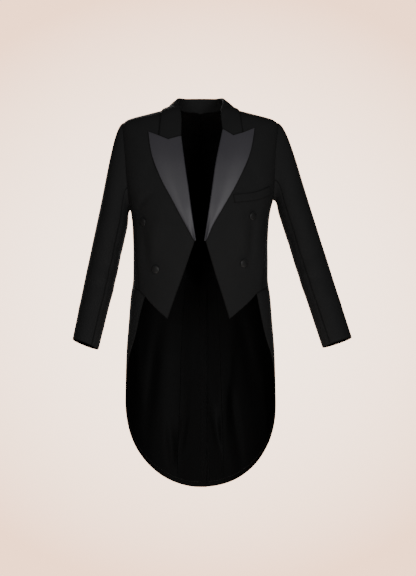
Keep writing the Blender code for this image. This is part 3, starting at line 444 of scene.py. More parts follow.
def level(points):
    """The points moved onto the form at their own heights."""
    return points / np.stack([swell(points), swell(points), np.ones(points.shape[:-1])], axis=-1)


def rounded(share, full):
    """How far a level section reaches one way, at a share of its reach the other way."""
    return max(0.0, 1 - abs(share) ** full) ** (1 / full)


def seen_at(x, z, facing):
    """The point of the form at (x, z), on its front half if facing is -1, else on its back half."""
    wide, front, back, full = section(z)
    deep = front if facing < 0 else back
    return np.array([x, facing * deep * rounded(x / wide, full), z])


def seen(places, side, facing):
    """The points of the form at (distance from the middle, height) places of one side."""
    return [seen_at(side * x, z, facing) for x, z in places]


def seam(points, side, facing, stretches):
    """A seam over the form through (distance from the middle, height) points."""
    return press(through(seen(points, side, facing), stretches))


def flute_lift(points):
    """How far the tails stand out from the form, which grows towards the hem."""
    drop = np.clip((FLUTE_TOP_Z - points[..., 2]) / (FLUTE_TOP_Z - TAIL_END_Z), 0, 1)
    turn = np.degrees(np.arctan2(points[..., 0], points[..., 1]))
    lift = np.zeros_like(drop)
    for angle, width, height in FLUTES:
        lift += height * np.exp(-(((turn - angle) / width) ** 2))
    return (lift - FLUTE_SINK) * drop**FLUTE_GROWTH


# Grids of points stretched between the seams

def stretch(bottom, top, left, right):
    """A sheet stretched between four edges. Rows run from bottom to top, columns from left to right."""
    rows, columns = len(left) - 1, len(bottom) - 1
    v = np.linspace(0, 1, rows + 1)[:, None, None]
    u = np.linspace(0, 1, columns + 1)[None, :, None]
    across = left[:, None] * (1 - u) + right[:, None] * u
    upright = bottom[None] * (1 - v) + top[None] * v
    corners = (1 - v) * ((1 - u) * left[0] + u * right[0]) + v * ((1 - u) * left[-1] + u * right[-1])
    return across + upright - corners


def set_back(grid, gap, sides="bottom top left right"):
    """The grid with its named edges moved in, square to each edge."""
    made = grid.copy()
    for name, line, inner in (
        ("bottom", np.s_[0, :], np.s_[1, :]),
        ("top", np.s_[-1, :], np.s_[-2, :]),
        ("left", np.s_[:, 0], np.s_[:, 1]),
        ("right", np.s_[:, -1], np.s_[:, -2]),
    ):
        if name in sides:
            along = unit(np.gradient(grid[line], axis=0))
            made[line] += unit(square_to(grid[inner] - grid[line], along)) * gap
    return made


def armhole(front):
    """The stations round an armhole, from the shoulder down the front and up the back."""
    high, low = SHOULDER[2], front["armhole_low"]
    points = []
    for k in range(ARM_STATIONS):
        turn = math.tau * k / ARM_STATIONS
        z = (high + low) / 2 + (high - low) / 2 * math.cos(turn)
        depth = ARMHOLE_FRONT if turn < math.pi else ARMHOLE_BACK
        y = -depth * math.sin(turn) * (1 - ARMHOLE_EGG * math.cos(turn))
        wide, front_depth, back_depth, full = section(z)
        deep = front_depth if y < 0 else back_depth
        points.append((front["side"] * wide * rounded(y / deep, full), y, z))
    return np.array(points)


def tail_hem(side):
    """The rounded hem of one tail, from its widest place to the middle of the back."""
    power = 2 / HEM_FULLNESS[side]
    depth = TAIL_ROUND_Z - TAIL_END_Z
    line = []
    for turn in np.linspace(0, math.pi / 2, HEM_SAMPLES):
        across = TAIL_HALF_WIDTH * abs(math.cos(turn)) ** power
        line.append(seen_at(side * across, TAIL_ROUND_Z - depth * math.sin(turn) ** power, 1))
    return np.array(line)


def seams_of(front):
    """Every seam and edge line of one side of the coat."""
    side = front["side"]
    hole = armhole(front)
    lines = {"armhole": hole}
    foot = seen_at(side * SIDE_SEAM_LOW[0], SIDE_SEAM_LOW[1], -1)
    halfway = (foot + hole[FRONT_STATION]) / 2 + (side * SIDE_SEAM_BOW, 0, 0)
    lines["side"] = press(through([foot, halfway, hole[FRONT_STATION]], SIDE_ROWS))
    back = seen(BACK_SEAM, side, 1)
    lines["back"] = press(through(back + [hole[BACK_STATION]], SIDE_ROWS))
    hem = tail_hem(side)
    split = int(np.argmin(np.abs(hem[:, 0] - side * TAIL_SEAM_FOOT)))
    lines["tail"] = seam(((abs(hem[split, 0]), hem[split, 2]), *TAIL_SEAM), side, 1, TAIL_ROWS)
    strap = seen(front["bottom"][1:], side, -1)[0]
    lines["strap"] = press(through([strap, foot], STRAP_COLUMNS))
    waist = [foot, *seen(WAIST_MIDDLE, side, 1), back[0]]
    lines["waist"] = press(through(waist, BACK_STATION - FRONT_STATION))
    shoulder = [on_side(point, side) for point in (NECK_SIDE, SHOULDER_MIDDLE, SHOULDER)]
    lines["shoulder"] = press(through(shoulder, SHOULDER_COLUMNS))
    hem[split] = lines["tail"][0]
    lines["skirt_hem"] = press(evenly(hem[: split + 1], STRAP_COLUMNS + BACK_STATION - FRONT_STATION))
    lines["strip_hem"] = hem[split:]
    edge = [hem[0], *seen(TAIL_EDGE, side, -1), strap]
    lines["tail_edge"] = press(through(edge, TAIL_ROWS))
    lines["roll"] = seam(front["roll"], side, -1, ROLL_ROWS)
    lines["edge"] = seam(front["edge"], side, -1, EDGE_ROWS)
    lines["cutaway"] = seam(front["bottom"], side, -1, HEM_COLUMNS)
    neck = [*seen(front["neckline"], side, -1), on_side(NECK_SIDE, side)]
    lines["neckline"] = press(through(neck, NECKLINE_ROWS))
    neck = [NECK_BACK, *[on_side(point, side) for point in (*NECK_HIP, NECK_SIDE)]]
    lines["back_neck"] = press(through(neck, NECK_COLUMNS))
    return lines


def front_grid(lines):
    """A front, from its cut-away bottom edge to the shoulder seam."""
    hole = lines["armhole"]
    return press(stretch(
        bottom=chain(lines["cutaway"], lines["strap"]),
        top=lines["shoulder"],
        left=chain(lines["edge"], lines["roll"], lines["neckline"]),
        right=chain(lines["side"], hole[FRONT_STATION::-1]),
    ))


def side_grid(lines):
    """The side body, under the arm."""
    return press(stretch(
        bottom=lines["waist"],
        top=lines["armhole"][FRONT_STATION : BACK_STATION + 1],
        left=lines["side"],
        right=lines["back"],
    ))


def skirt_grid(lines):
    """The skirt of one tail, sewn on at the waist."""
    return press(stretch(
        bottom=lines["skirt_hem"],
        top=chain(lines["strap"], lines["waist"]),
        left=lines["tail_edge"],
        right=lines["tail"],
    ))


def back_grid(lines, side):
    """A back with its strip of the tail, cut in one from the shoulder to the hem."""
    hem = lines["strip_hem"]
    lap = seen_at(-side * VENT_LAP, hem[-1][2], 1)
    hem = evenly(np.vstack([hem, lap])[::-1], NECK_COLUMNS + SHOULDER_COLUMNS)
    vent = [seen_at(-side * VENT_LAP, z, 1) for z in np.linspace(hem[0][2], VENT_TOP_Z, TAIL_ROWS)]
    middle = press(through([*BACK_MIDDLE, NECK_BACK], SIDE_ROWS + ARM_STATIONS - BACK_STATION))
    rising = np.vstack([lines["armhole"][BACK_STATION:], lines["armhole"][:1]])
    return press(stretch(
        bottom=hem,
        top=chain(lines["back_neck"], lines["shoulder"]),
        left=np.vstack([vent, middle]),
        right=chain(lines["tail"], lines["back"], rising),
    ))


def vent_lift(points, side):
    """One tail passes outside the other where they lap, so each is moved off the form there."""
    low = np.clip((points[..., 2] - VENT_TOP_Z - VENT_START) / VENT_CLOSING, 0, 1)
    near = np.clip((np.abs(points[..., 0]) - VENT_LAP - VENT_MARGIN) / VENT_FADING, 0, 1)
    apart = CLOTH / 2 + VENT_CLEAR
    return side * apart * (1 - eased(low)) * (1 - eased(near))


# Lapels and collar

def lapel_face(front, lines):
    """The lapel's points on the form, from the roll to its edge."""
    side = front["side"]
    top_points = seen(front["lapel_top"], side, -1)
    spans = (NOTCH_COLUMN, CORNER_COLUMN - NOTCH_COLUMN, FACE_COLUMNS - CORNER_COLUMN)
    top = chain(*[through(top_points[k : k + 2], spans[k]) for k in range(3)])
    outer = seen(front["lapel_edge"], side, -1)
    foot = through([lines["roll"][0], outer[0]], FACE_COLUMNS)
    outer = through(outer, ROLL_ROWS)
    return press(stretch(foot, top, lines["roll"], outer))


def lapel_lift(share):
    """How far the lapel's middle surface stands off the form, from its roll (0) to its edge (1)."""
    return ROLL_RADIUS + LAPEL_BELLY * np.sin(np.pi * np.clip(share, 0, 1)) + LAPEL_FLARE * share


def rolled(centres, apex, out, stand, face, face_normals):
    """Rows of a folded piece: the part behind the fold, the round of the fold, then its face."""
    turns = np.radians(ROLL_TURNS)
    ring = np.cos(turns)[None, :, None] * apex[:, None] + np.sin(turns)[None, :, None] * out[:, None]
    fold = centres[:, None] + ROLL_RADIUS * ring
    grid = np.concatenate([stand, fold, face[:, 1:]], axis=1)
    leaning = np.array((0.0, 1.0))[None, :, None]  # only the row next to the fold leans towards it
    behind_normals = -unit(outward(stand) + leaning * out[:, None])
    normals = np.concatenate([behind_normals, ring, face_normals[:, 1:]], axis=1)
    return grid, normals


def lapel_rows(front, lines):
    """The lapel's grid and normals, from its turned-in edge over the roll to its outer edge."""
    base = lapel_face(front, lines)
    normals = outward(base)
    share = np.linspace(0, 1, FACE_COLUMNS + 1)[None, :]
    face = base + normals * lapel_lift(share)[..., None]
    roll, out = base[:, 0], normals[:, 0]
    apex = across_edge(roll, out, base[:, INLAND_COLUMN])
    stand = np.stack([behind(roll, apex, RETURN), behind(roll, apex, RETURN / 2)], axis=1)
    return rolled(roll, apex, out, stand, face, normals)


def across_edge(line, out, inland):
    """Unit vectors square to an edge line, along the form and away from the cloth."""
    apex = unit(np.cross(unit(np.gradient(line, axis=0)), out))
    return facing_with(apex, line - inland)


def behind(line, apex, distance):
    """Points behind the cloth's inner face, the given distance in from its edge."""
    foot = line + press(line - apex * distance) - press(line)
    return foot - outward(foot) * (ROLL_RADIUS + RETURN_CLEAR)


def in_parts(points, knots, stretches):
    """A smooth curve through the points, with evenly spaced stations between its knots."""
    curve = through(points, FINE_CURVE)
    cuts = [int(np.argmin(np.linalg.norm(curve - np.array(points[k]), axis=1))) for k in knots]
    parts = [evenly(curve[a : b + 1], n) for a, b, n in zip(cuts, cuts[1:], stretches)]
    return chain(*parts)


def collar_neckline(seams):
    """The neckline that the collar is sewn to, from the right gorge round to the left one."""
    right, left = seams["right"], seams["left"]
    quarters = (right["neckline"], right["back_neck"][::-1], left["back_neck"], left["neckline"][::-1])
    return chain(*[evenly(line, n) for line, n in zip(quarters, COLLAR_QUARTERS)])


def leaf_edge(right_end, left_end):
    """The edge of the collar's leaf, from the right lapel round to the left one."""
    right = [on_side(point, -1) for point in FRONTS["right"]["leaf"]]
    left = FRONTS["left"]["leaf"]
    hips = []
    for point in (right[0], left[0]):
        hips.append((point[0] * LEAF_HIP[0], LEAF_BACK[1] * LEAF_HIP[1], (LEAF_BACK[2] + point[2]) / 2))
    points = [right_end, *right[::-1], hips[0], LEAF_BACK, hips[1], *left, left_end]
    knots = (0, len(right), len(right) + 2, len(points) - 1 - len(left), len(points) - 1)
    return in_parts(points, knots, COLLAR_QUARTERS)


def collar_fold(sewn, sewn_apex, leaf, ends, near):
    """The line of the collar's fold, and the ways that its crest and its outer side face."""
    number = np.arange(len(leaf))
    rise = [(row * DETAIL, height) for row, height in COLLAR_RISE]
    rise = smooth_table(rise, np.minimum(number, number[::-1]))
    fold = level(press(sewn) + sewn_apex * rise)
    centres = in_parts(fold[[row * DETAIL for row in FOLD_ROWS]], FOLD_KNOTS, COLLAR_QUARTERS)
    apex = unit(unit(centres - leaf) + unit(centres - sewn + CREST_LEAN * sewn_apex))
    along = unit(np.gradient(centres, axis=0))
    apex = unit(square_to(apex, along))
    out = facing_with(np.cross(along, apex), outward(centres))
    for (_, end_normals), weight in zip(ends, near):
        apex = unit(apex * (1 - weight) + end_normals[FOLD_CREST] * weight)
        out = unit(out * (1 - weight) + end_normals[FOLD_END] * weight)
    return centres, apex, out


def collar_face(start, leaf, out, ends, near):
    """The collar's leaf and its normals, from the fold to its edge, blended into the lapels."""
    u = np.linspace(0, 1, CORNER_COLUMN + 1)[None, :, None]
    face = start[:, None] * (1 - u) + leaf[:, None] * u
    belly = COLLAR_BELLY * np.sin(np.pi * u) * (1 - near[0] - near[1])[:, None]
    face = face + out[:, None] * belly
    foot = press(face)
    normal = outward(foot)
    height = ((face - foot) * normal).sum(axis=-1, keepdims=True)
    face[:, 1:] += (normal * np.maximum(lapel_lift(u) - height, 0))[:, 1:]
    for (end_grid, _), weight in zip(ends, near):
        row = 0 if weight[0] > 0 else -1
        shift = end_grid[FOLD_END:] - face[row]
        face = face + shift[None] * weight[:, None]
    normals = facing_with(numeric_normals(face), out[:, None])
    for (_, end_normals), weight in zip(ends, near):
        end_face = end_normals[None, FOLD_END:]
        normals = unit(normals * (1 - weight[:, None]) + end_face * weight[:, None])
    return face, normals


def collar_rows(seams, lapels):
    """The collar: a stand behind the neckline, a fold round the neck, and a leaf outside."""
    columns = FOLD_END + 1 + CORNER_COLUMN
    ends = [[part[-1, :columns] for part in lapels[name]] for name in ("right", "left")]
    leaf = leaf_edge(ends[0][0][-1], ends[1][0][-1])
    number = np.arange(len(leaf))
    near = [np.clip(1 - line / COLLAR_BLEND, 0, 1) for line in (number, number[::-1])]
    near = [eased(share)[:, None] for share in near]
    at_ends = near[0] + near[1]
    sewn = collar_neckline(seams)
    sewn_apex = across_edge(sewn, outward(sewn), leaf)
    centres, apex, out = collar_fold(sewn, sewn_apex, leaf, ends, near)
    tuck = RETURN / 2 * at_ends - (ROLL_RADIUS + SEAM_GAP) * (1 - at_ends)
    foot = behind(sewn, sewn_apex, tuck)
    hanging = foot + unit(foot - centres + ROLL_RADIUS * out) * STAND_FOOT
    hem = behind(sewn, sewn_apex, RETURN) * at_ends + hanging * (1 - at_ends)
    stand = np.stack([hem, foot], axis=1)
    face, normals = collar_face(centres + ROLL_RADIUS * out, leaf, out, ends, near)
    return rolled(centres, apex, out, stand, face, normals)


def numeric_normals(grid, wraps=False):
    """Unit normals of a grid of points."""
    if wraps:
        across = np.roll(grid, -1, axis=1) - np.roll(grid, 1, axis=1)
    else:
        across = np.gradient(grid, axis=1)
    return unit(np.cross(across, np.gradient(grid, axis=0)))


# Sleeves

def sleeve_rings(front, sleeve):
    """A sleeve as rings of points from its seam allowance down, and the first ring's normals."""
    side = sleeve["side"]
    hole = armhole(front)
    turns = np.linspace(0, math.tau, ARM_STATIONS, endpoint=False)
    top, cuff = on_side(sleeve["top"], side), on_side(sleeve["cuff"], side)
    along = unit(cuff - top)
    outer = facing_with(unit(np.cross((0, side, 0), along)), (side, 0, 0))
    forward = facing_with(unit(np.cross(outer, along)), (0, -1, 0))

    def ring(share):
        width = np.interp(share, (0, 0.5, 1), sleeve["half_width"])
        depth = np.interp(share, (0, 0.5, 1), sleeve["half_depth"])
        bow = np.array((0, ELBOW_BOW * math.sin(math.pi * share), 0))
        middle = top + (cuff - top) * share + bow
        across = (width * np.cos(turns))[:, None]
        made = middle + outer * across + forward * (depth * np.sin(turns))[:, None]
        tilt = sleeve["hem_tilt"] * max(0.0, share - HEM_TILT_FROM) / (1 - HEM_TILT_FROM)
        return made - along * tilt * across

    rings = [ring(share) for share in np.linspace(0, 1, ARM_ROWS + 1)]
    leaves = np.array((side, 0, 0), float)
    normal = outward(hole)
    hole = hole + normal * creased(hole)[:, None]
    into = unit(np.cross(np.roll(hole, -1, axis=0) - np.roll(hole, 1, axis=0), normal))
    into = facing_with(into, hole.mean(axis=0) - hole)
    turned = np.clip((leaves * normal).sum(axis=1, keepdims=True), 0, 1)
    start = hole + into * (SEAM_GAP + CLOTH / 2 * turned)
    reach = np.linalg.norm(rings[0] - start, axis=1, keepdims=True)
    pull, push = sleeve["head"] + CAP_PULL * reach, CAP_PUSH * reach
    cap = []
    for t in CAP_STEPS[:-1]:
        cap.append(cubic(start, rings[0], leaves * pull, along * push, t))
    tuck = hole - normal * TUCK_DEPTH - into * TUCK_WIDTH
    return np.array([tuck] + cap + rings), normal


def crease_lift(rows):
    """How far the sleeve's cloth stands out in its soft creases."""
    caps = rows - ARM_ROWS - 1
    down = np.clip((np.arange(rows) - caps) / ARM_ROWS, 0, 1)[:, None]
    turn = np.degrees(np.linspace(0, math.tau, ARM_STATIONS, endpoint=False))[None, :]
    lift = np.zeros((rows, ARM_STATIONS))
    for along, centre, slant, length, breadth, height in CREASES:
        off = (turn - centre) / length
        away = (down - along - CREASE_SLANT * slant * off * breadth) / breadth
        lift += height * np.exp(-(off**2) - away**2)
    return lift * (down > 0)


# Cloth walls

def run_of(grid):
    """The distance of each point from the first one of its column."""
    step = np.linalg.norm(np.diff(grid, axis=0), axis=-1)
    return np.vstack([np.zeros((1, grid.shape[1])), np.cumsum(step, axis=0)])


def measures(grid):
    """Each point's distance from the nearest edge, and its place on the cloth, in metres."""
    along = run_of(grid)
    across = run_of(grid.swapaxes(0, 1)).T
    to_ends = np.minimum(along, along[-1:] - along)
    to_sides = np.minimum(across, across[:, -1:] - across)
    return np.minimum(to_ends, to_sides), np.stack([across - across[:, -1:] / 2, along], axis=-1)


def cut_of(grid):
    """The cut of a piece of cloth: its widest row, its longest column and its area."""
    wide = run_of(grid.swapaxes(0, 1))[-1].max()
    long = run_of(grid)[-1].max()
    one, other = grid[1:, 1:] - grid[:-1, :-1], grid[1:, :-1] - grid[:-1, 1:]
    area = np.linalg.norm(np.cross(one, other), axis=-1).sum() / 2
    return float(wide), float(long), float(area)


def with_edge_lines(grid):
    """The grid with extra rows and columns close to its edges."""
    for _ in range(2):
        lines = []
        for line, inner in ((grid[0], grid[1]), (grid[-1], grid[-2])):
            step = inner - line
            length = np.linalg.norm(step[:, :3], axis=1, keepdims=True)
            length = np.maximum(length, SHORTEST_STEP)
            lines.append([line + step * np.minimum(near / length, most) for near, most in EDGE_LINES])
        grid = np.concatenate([grid[:1], lines[0], grid[1:-1], lines[1][::-1], grid[-1:]])
        grid = grid.swapaxes(0, 1)
    return grid


def inset(grid, first, last):
    """The grid with its first and last rows moved in by real distances, and the others shared out."""
    run = run_of(grid)
    made = np.empty_like(grid)
    for column in range(grid.shape[1]):
        whole = run[-1, column]
        most = whole / INSET_LIMIT
        at = np.linspace(min(first, most), whole - min(last, most), len(grid))
        for axis in range(3):
            made[:, column, axis] = np.interp(at, run[:, column], grid[:, column, axis])
    return made


def creased(points):
    """How far the cloth of the body stands out in its soft creases."""
    turn = np.degrees(np.arctan2(points[..., 0], -points[..., 1]))
    reach = np.hypot(points[..., 0], points[..., 1])
    lift = np.zeros(points.shape[:-1])
    for angle, height, slant, length, breadth, rise in BODY_CREASES:
        off = (turn - angle + 180) % 360 - 180
        across = np.radians(off) * reach
        up = points[..., 2] - height
        lean = math.radians(slant)
        along = up * math.cos(lean) + across * math.sin(lean)
        beside = across * math.cos(lean) - up * math.sin(lean)
        lift += rise * np.exp(-((along / length) ** 2) - (beside / breadth) ** 2)
    return CREASE_STRENGTH * lift


def lay_pattern(mesh, places):
    """Gives the mesh each point's place on the cloth as its UV map, in metres."""
    used = np.zeros(len(mesh.loops), int)
    mesh.loops.foreach_get("vertex_index", used)
    mesh.uv_layers.new(name="cloth").data.foreach_set("uv", places[used].astype(np.float32).ravel())


def wall(name, grid, normals, thickness, finish, lined=False):
    """A closed wall round a grid of points, with turned edges. Lined is for its inner face."""
    rows, columns = grid.shape[:2]
    count = rows * columns
    edge, place = measures(grid)
    turned = np.sqrt(1 - (1 - np.clip(edge / (TURNED_SHARE * thickness), 0, 1)) ** 2)
    half = normals * (thickness / 2 * (RIM_SHARE + (1 - RIM_SHARE) * turned))[..., None]
    points = np.concatenate([(grid - half).reshape(-1, 3), (grid + half).reshape(-1, 3)])
    number = np.arange(count).reshape(rows, columns)
    corners = (number[:-1, :-1], number[:-1, 1:], number[1:, 1:], number[1:, :-1])
    outer = np.stack(corners, axis=-1).reshape(-1, 4) + count
    under = np.stack(corners[::-1], axis=-1).reshape(-1, 4)
    loop = np.concatenate([number[0], number[1:, -1], number[-1, -2::-1], number[-2:0:-1, 0]])
    after = np.roll(loop, -1)
    rim = np.stack([loop, after, after + count, loop + count], axis=-1)
    mesh = bpy.data.meshes.new(name)
    mesh.from_pydata(points.tolist(), [], np.concatenate([under, outer, rim]).tolist())
    work = bmesh.new()
    work.from_mesh(mesh)
    bmesh.ops.recalc_face_normals(work, faces=work.faces[:])
    work.to_mesh(mesh)
    work.free()
    lay_pattern(mesh, np.concatenate([place.reshape(-1, 2)] * 2))
    marks = {
        "edge": np.concatenate([edge.ravel()] * 2),
        "inside": np.repeat((float(lined), 0.0), count),
    }
    for label, values in marks.items():
        mark = mesh.attributes.new(label, "FLOAT", "POINT")
        mark.data.foreach_set("value", values.astype(np.float32))
    piece = finished(name, mesh, finish)
    wide, long, area = cut_of(grid)
    return piece


def in_scene(name, data):
    """A new object in the scene."""
    made = bpy.data.objects.new(name, data)
    bpy.context.scene.collection.objects.link(made)
    return made


def dressed(name, mesh, finish):
    """Adds a piece of the coat with its finish."""
    mesh.materials.clear()
    mesh.materials.append(FINISHES[finish])
    mesh.shade_smooth()
    piece = in_scene(name, mesh)
    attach(piece, "root")
    return piece


def finished(name, mesh, finish):
    """Adds a piece that stands for the solid of the same name, without its suffix."""
    piece = dressed(f"{name}_cloth", mesh, finish)
    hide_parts(name)
    return piece


def seam_dip(grid):
    """How far the cloth is pressed in along its seams."""
    return SEAM_DIP * np.exp(-((measures(grid)[0] / SEAM_DIP_WIDTH) ** 2))


def edged(grid, normals):
    """The grid and its unit normals, both with the extra lines close to its edges."""
    both = with_edge_lines(np.concatenate([grid, normals], axis=-1))
    return both[..., :3], unit(both[..., 3:])


def body_piece(name, grid, lift):
    """One panel of the coat's body."""
    grid = with_edge_lines(set_back(grid, SEWN))
    normals = outward(grid)
    middle = grid + normals * (lift(grid) + creased(grid) - seam_dip(grid))[..., None]
    return wall(name, middle, settled(middle, normals), CLOTH, "wool", lined=True)


def settled(grid, normals):
    """The grid's own normals, except along its edges, where they stay square to the form."""
    own = facing_with(numeric_normals(grid), normals)
    inland = np.clip(measures(grid)[0] / SETTLING, 0, 1)[..., None]
    return unit(own * inland + normals * (1 - inland))


def lining_piece(name, grid, lift, margins):
    """Adds the lining inside one panel of a tail and gives its grid, the panel's own, moved in."""
    grid = set_back(grid, SEWN)
    normals = outward(grid)
    depth = CLOTH / 2 + SEAM_GAP + LINING_WALL / 2
    shell = grid + normals * (lift(grid) + creased(grid) - depth)[..., None]
    shell = inset(shell, margins[0], margins[1])
    shell = inset(shell.swapaxes(0, 1), margins[2], margins[3]).swapaxes(0, 1)
    shell = with_edge_lines(shell)
    wall(name, shell, outward(shell), LINING_WALL, "lining")
    return shell


# Finishes

def grey(level, warmth=0.0):
    return (level * (1 + warmth), level, level * (1 - warmth), 1.0)


LINING_COLOUR = (0.0010, 0.0010, 0.0012, 1.0)
FINISH_NAMES = ("wool", "satin", "lining", "button", "thread")
LOOKS = (
    # what it is, then its value for each finish in turn
    ("dark", grey(0.0145, -0.03), (0.039, 0.037, 0.045, 1.0), grey(0.0012, -0.08),
     grey(0.010, -0.03), grey(0.012)),
    ("light", grey(0.0215, -0.03), (0.050, 0.048, 0.058, 1.0), grey(0.0020, -0.08),
     grey(0.014, -0.03), grey(0.018)),
    ("thread", grey(0.024), (0.058, 0.056, 0.066, 1.0), grey(0.003), grey(0.022), grey(0.03)),
    # edge is mixed in along edges and seams: painted shade on the wool, a darker turned edge on the
    # satin, lighter on the lining
    ("edge", grey(0.0050), grey(0.012), grey(0.004), grey(0.03), grey(0.03)),
    ("speck", grey(0.05), grey(0.09), grey(0.03), grey(0.05), grey(0.05)),
    ("thread_tint", 0.35, 0.25, 0.30, 0.35, 0.20),
    # how much of the edge colour is mixed in; on the wool this is painted shade
    ("edge_tint", 0.60, 0.85, 0.40, 0.0, 0.0),
    ("lint", 0.25, 0.05, 0.06, 0.05, 0.0),
    ("tone_size", 9.0, 6.0, 8.0, 60.0, 90.0),
    ("ribs", 900.0, 1600.0, 1500.0, 1500.0, 2500.0),  # in a metre
    ("crossings", 640.0, 260.0, 300.0, 400.0, 900.0),
    ("slant", 1.0, 0.15, 0.05, 0.15, 0.60),
    ("broken", 0.50, 0.30, 0.30, 0.40, 0.30),
    ("smoothest", 0.78, 0.45, 0.42, 0.40, 0.45),
    ("roughest", 0.90, 0.52, 0.52, 0.50, 0.60),
    ("edge_shine", 0.12, -0.15, 0.0, 0.0, 0.0),
    ("lined_shine", 0.38, 0.0, 0.0, 0.0, 0.0),
    ("pressed_and_shaded_width", 0.0045, 0.0022, 0.003, 0.001, 0.001),
    ("bump", 0.55, 0.18, 0.20, 0.30, 0.20),
    ("thread_height", 0.00012, 0.00005, 0.00005, 0.00006, 0.00004),
    ("specular", 0.06, 0.50, 0.05, 0.34, 0.45),
)
CROSSING_LEAN = 0.5
WEAVE_REACH = 1.5  # the most that ribs and crossings add up to
SLOW_DETAIL, FINE_DETAIL = 3.0, 1.0
LINT_SCALE = 700.0
LINT_RARITY = (0.74, 0.80)  # of the fine noise, where lint begins to show and where it is full


def node(tree, kind, values=None, **settings):
    """Adds a node. Each of the values is a number, a colour or the socket that feeds that input."""
    made = tree.nodes.new(kind)
    for label, value in settings.items():
        setattr(made, label, value)
    for label, value in (values or {}).items():
        if isinstance(value, bpy.types.NodeSocket):
            tree.links.new(value, made.inputs[label])
        else:
            made.inputs[label].default_value = value
    return made


def new_group(name, kind_of_tree, sockets):
    """An empty node group: its tree, what its input node gives and what its output node takes."""
    tree = bpy.data.node_groups.new(name, kind_of_tree)
    for label, way, kind, value in sockets:
        socket = tree.interface.new_socket(label, in_out=way, socket_type=f"NodeSocket{kind}")
        if value is not None:
            socket.default_value = value
    given = tree.nodes.new("NodeGroupInput").outputs
    out = tree.nodes.new("NodeGroupOutput").inputs
    return tree, given, out


def math_node(tree, operation, one, other=0.0, clamp=False):
    made = node(tree, "ShaderNodeMath", {0: one, 1: other}, operation=operation, use_clamp=clamp)
    return made.outputs[0]


def weave_group():
    """Crossing threads: ribs of one spacing broken by threads of another."""
    tree, given, out = new_group("woven_threads", "ShaderNodeTree", (
        ("Place", "INPUT", "Vector", None),
        ("Ribs", "INPUT", "Float", 900.0),
        ("Crossings", "INPUT", "Float", 600.0),
        ("Slant", "INPUT", "Float", 1.0),
        ("Broken", "INPUT", "Float", 0.5),
        ("Height", "OUTPUT", "Float", None),
    ))
    parts = node(tree, "ShaderNodeSeparateXYZ", {0: given["Place"]})
    leaning = math_node(tree, "MULTIPLY", parts.outputs[1], given["Slant"])
    along = math_node(tree, "ADD", parts.outputs[0], leaning)
    rib = math_node(tree, "MULTIPLY", along, math_node(tree, "MULTIPLY", given["Ribs"], math.tau))
    rib = math_node(tree, "SINE", rib)
    over = math_node(tree, "MULTIPLY", parts.outputs[0], CROSSING_LEAN)
    over = math_node(tree, "SUBTRACT", parts.outputs[1], over)
    over = math_node(tree, "MULTIPLY", over, math_node(tree, "MULTIPLY", given["Crossings"], math.tau))
    over = math_node(tree, "MULTIPLY", math_node(tree, "SINE", over), given["Broken"])
    total = math_node(tree, "ADD", rib, over)
    height = node(tree, "ShaderNodeMapRange", {
        "Value": total, "From Min": -WEAVE_REACH, "From Max": WEAVE_REACH,
    })
    tree.links.new(height.outputs[0], out["Height"])
    return tree


def tone_group():
    """Slow changes of tone over the cloth, and sparse lint."""
    tree, given, out = new_group("tone_of_cloth", "ShaderNodeTree", (
        ("Place", "INPUT", "Vector", None),
        ("Size", "INPUT", "Float", 14.0),
        ("Lint", "INPUT", "Float", 0.5),
        ("Tone", "OUTPUT", "Float", None),
        ("Specks", "OUTPUT", "Float", None),
    ))
    slow = node(tree, "ShaderNodeTexNoise", {
        "Vector": given["Place"], "Scale": given["Size"], "Detail": SLOW_DETAIL,
    })
    tree.links.new(slow.outputs[0], out["Tone"])
    fine = node(tree, "ShaderNodeTexNoise", {
        "Vector": given["Place"], "Scale": LINT_SCALE, "Detail": FINE_DETAIL,
    })
    rare = node(tree, "ShaderNodeMapRange", {
        "Value": fine.outputs[0], "From Min": LINT_RARITY[0], "From Max": LINT_RARITY[1],
    })
    specks = math_node(tree, "MULTIPLY", rare.outputs[0], given["Lint"], clamp=True)
    tree.links.new(specks, out["Specks"])
    return tree


def pressed_and_shaded_group():
    """1 along a piece's edges and seams, falling to 0 at the given width: where they were pressed flat,
    and where they take painted shade.
    """
    tree, given, out = new_group("pressed_and_shaded_edge", "ShaderNodeTree", (
        ("Width", "INPUT", "Float", 0.004),
        ("Pressed_and_shaded", "OUTPUT", "Float", None),
    ))
    edge = node(tree, "ShaderNodeAttribute", attribute_name="edge")
    fall = node(tree, "ShaderNodeMapRange", {
        "Value": edge.outputs["Fac"], "From Max": given["Width"], "To Min": 1.0, "To Max": 0.0,
    }, interpolation_type="SMOOTHSTEP")
    tree.links.new(fall.outputs[0], out["Pressed_and_shaded"])
    return tree


def placed(tree, group, values):
    """Places a node group in a material and gives its outputs."""
    return node(tree, "ShaderNodeGroup", values, node_tree=group).outputs


def mixed(tree, share, one, other):
    """A colour between two others."""
    return node(tree, "ShaderNodeMix", {"Factor": share, 6: one, 7: other}, data_type="RGBA").outputs[2]


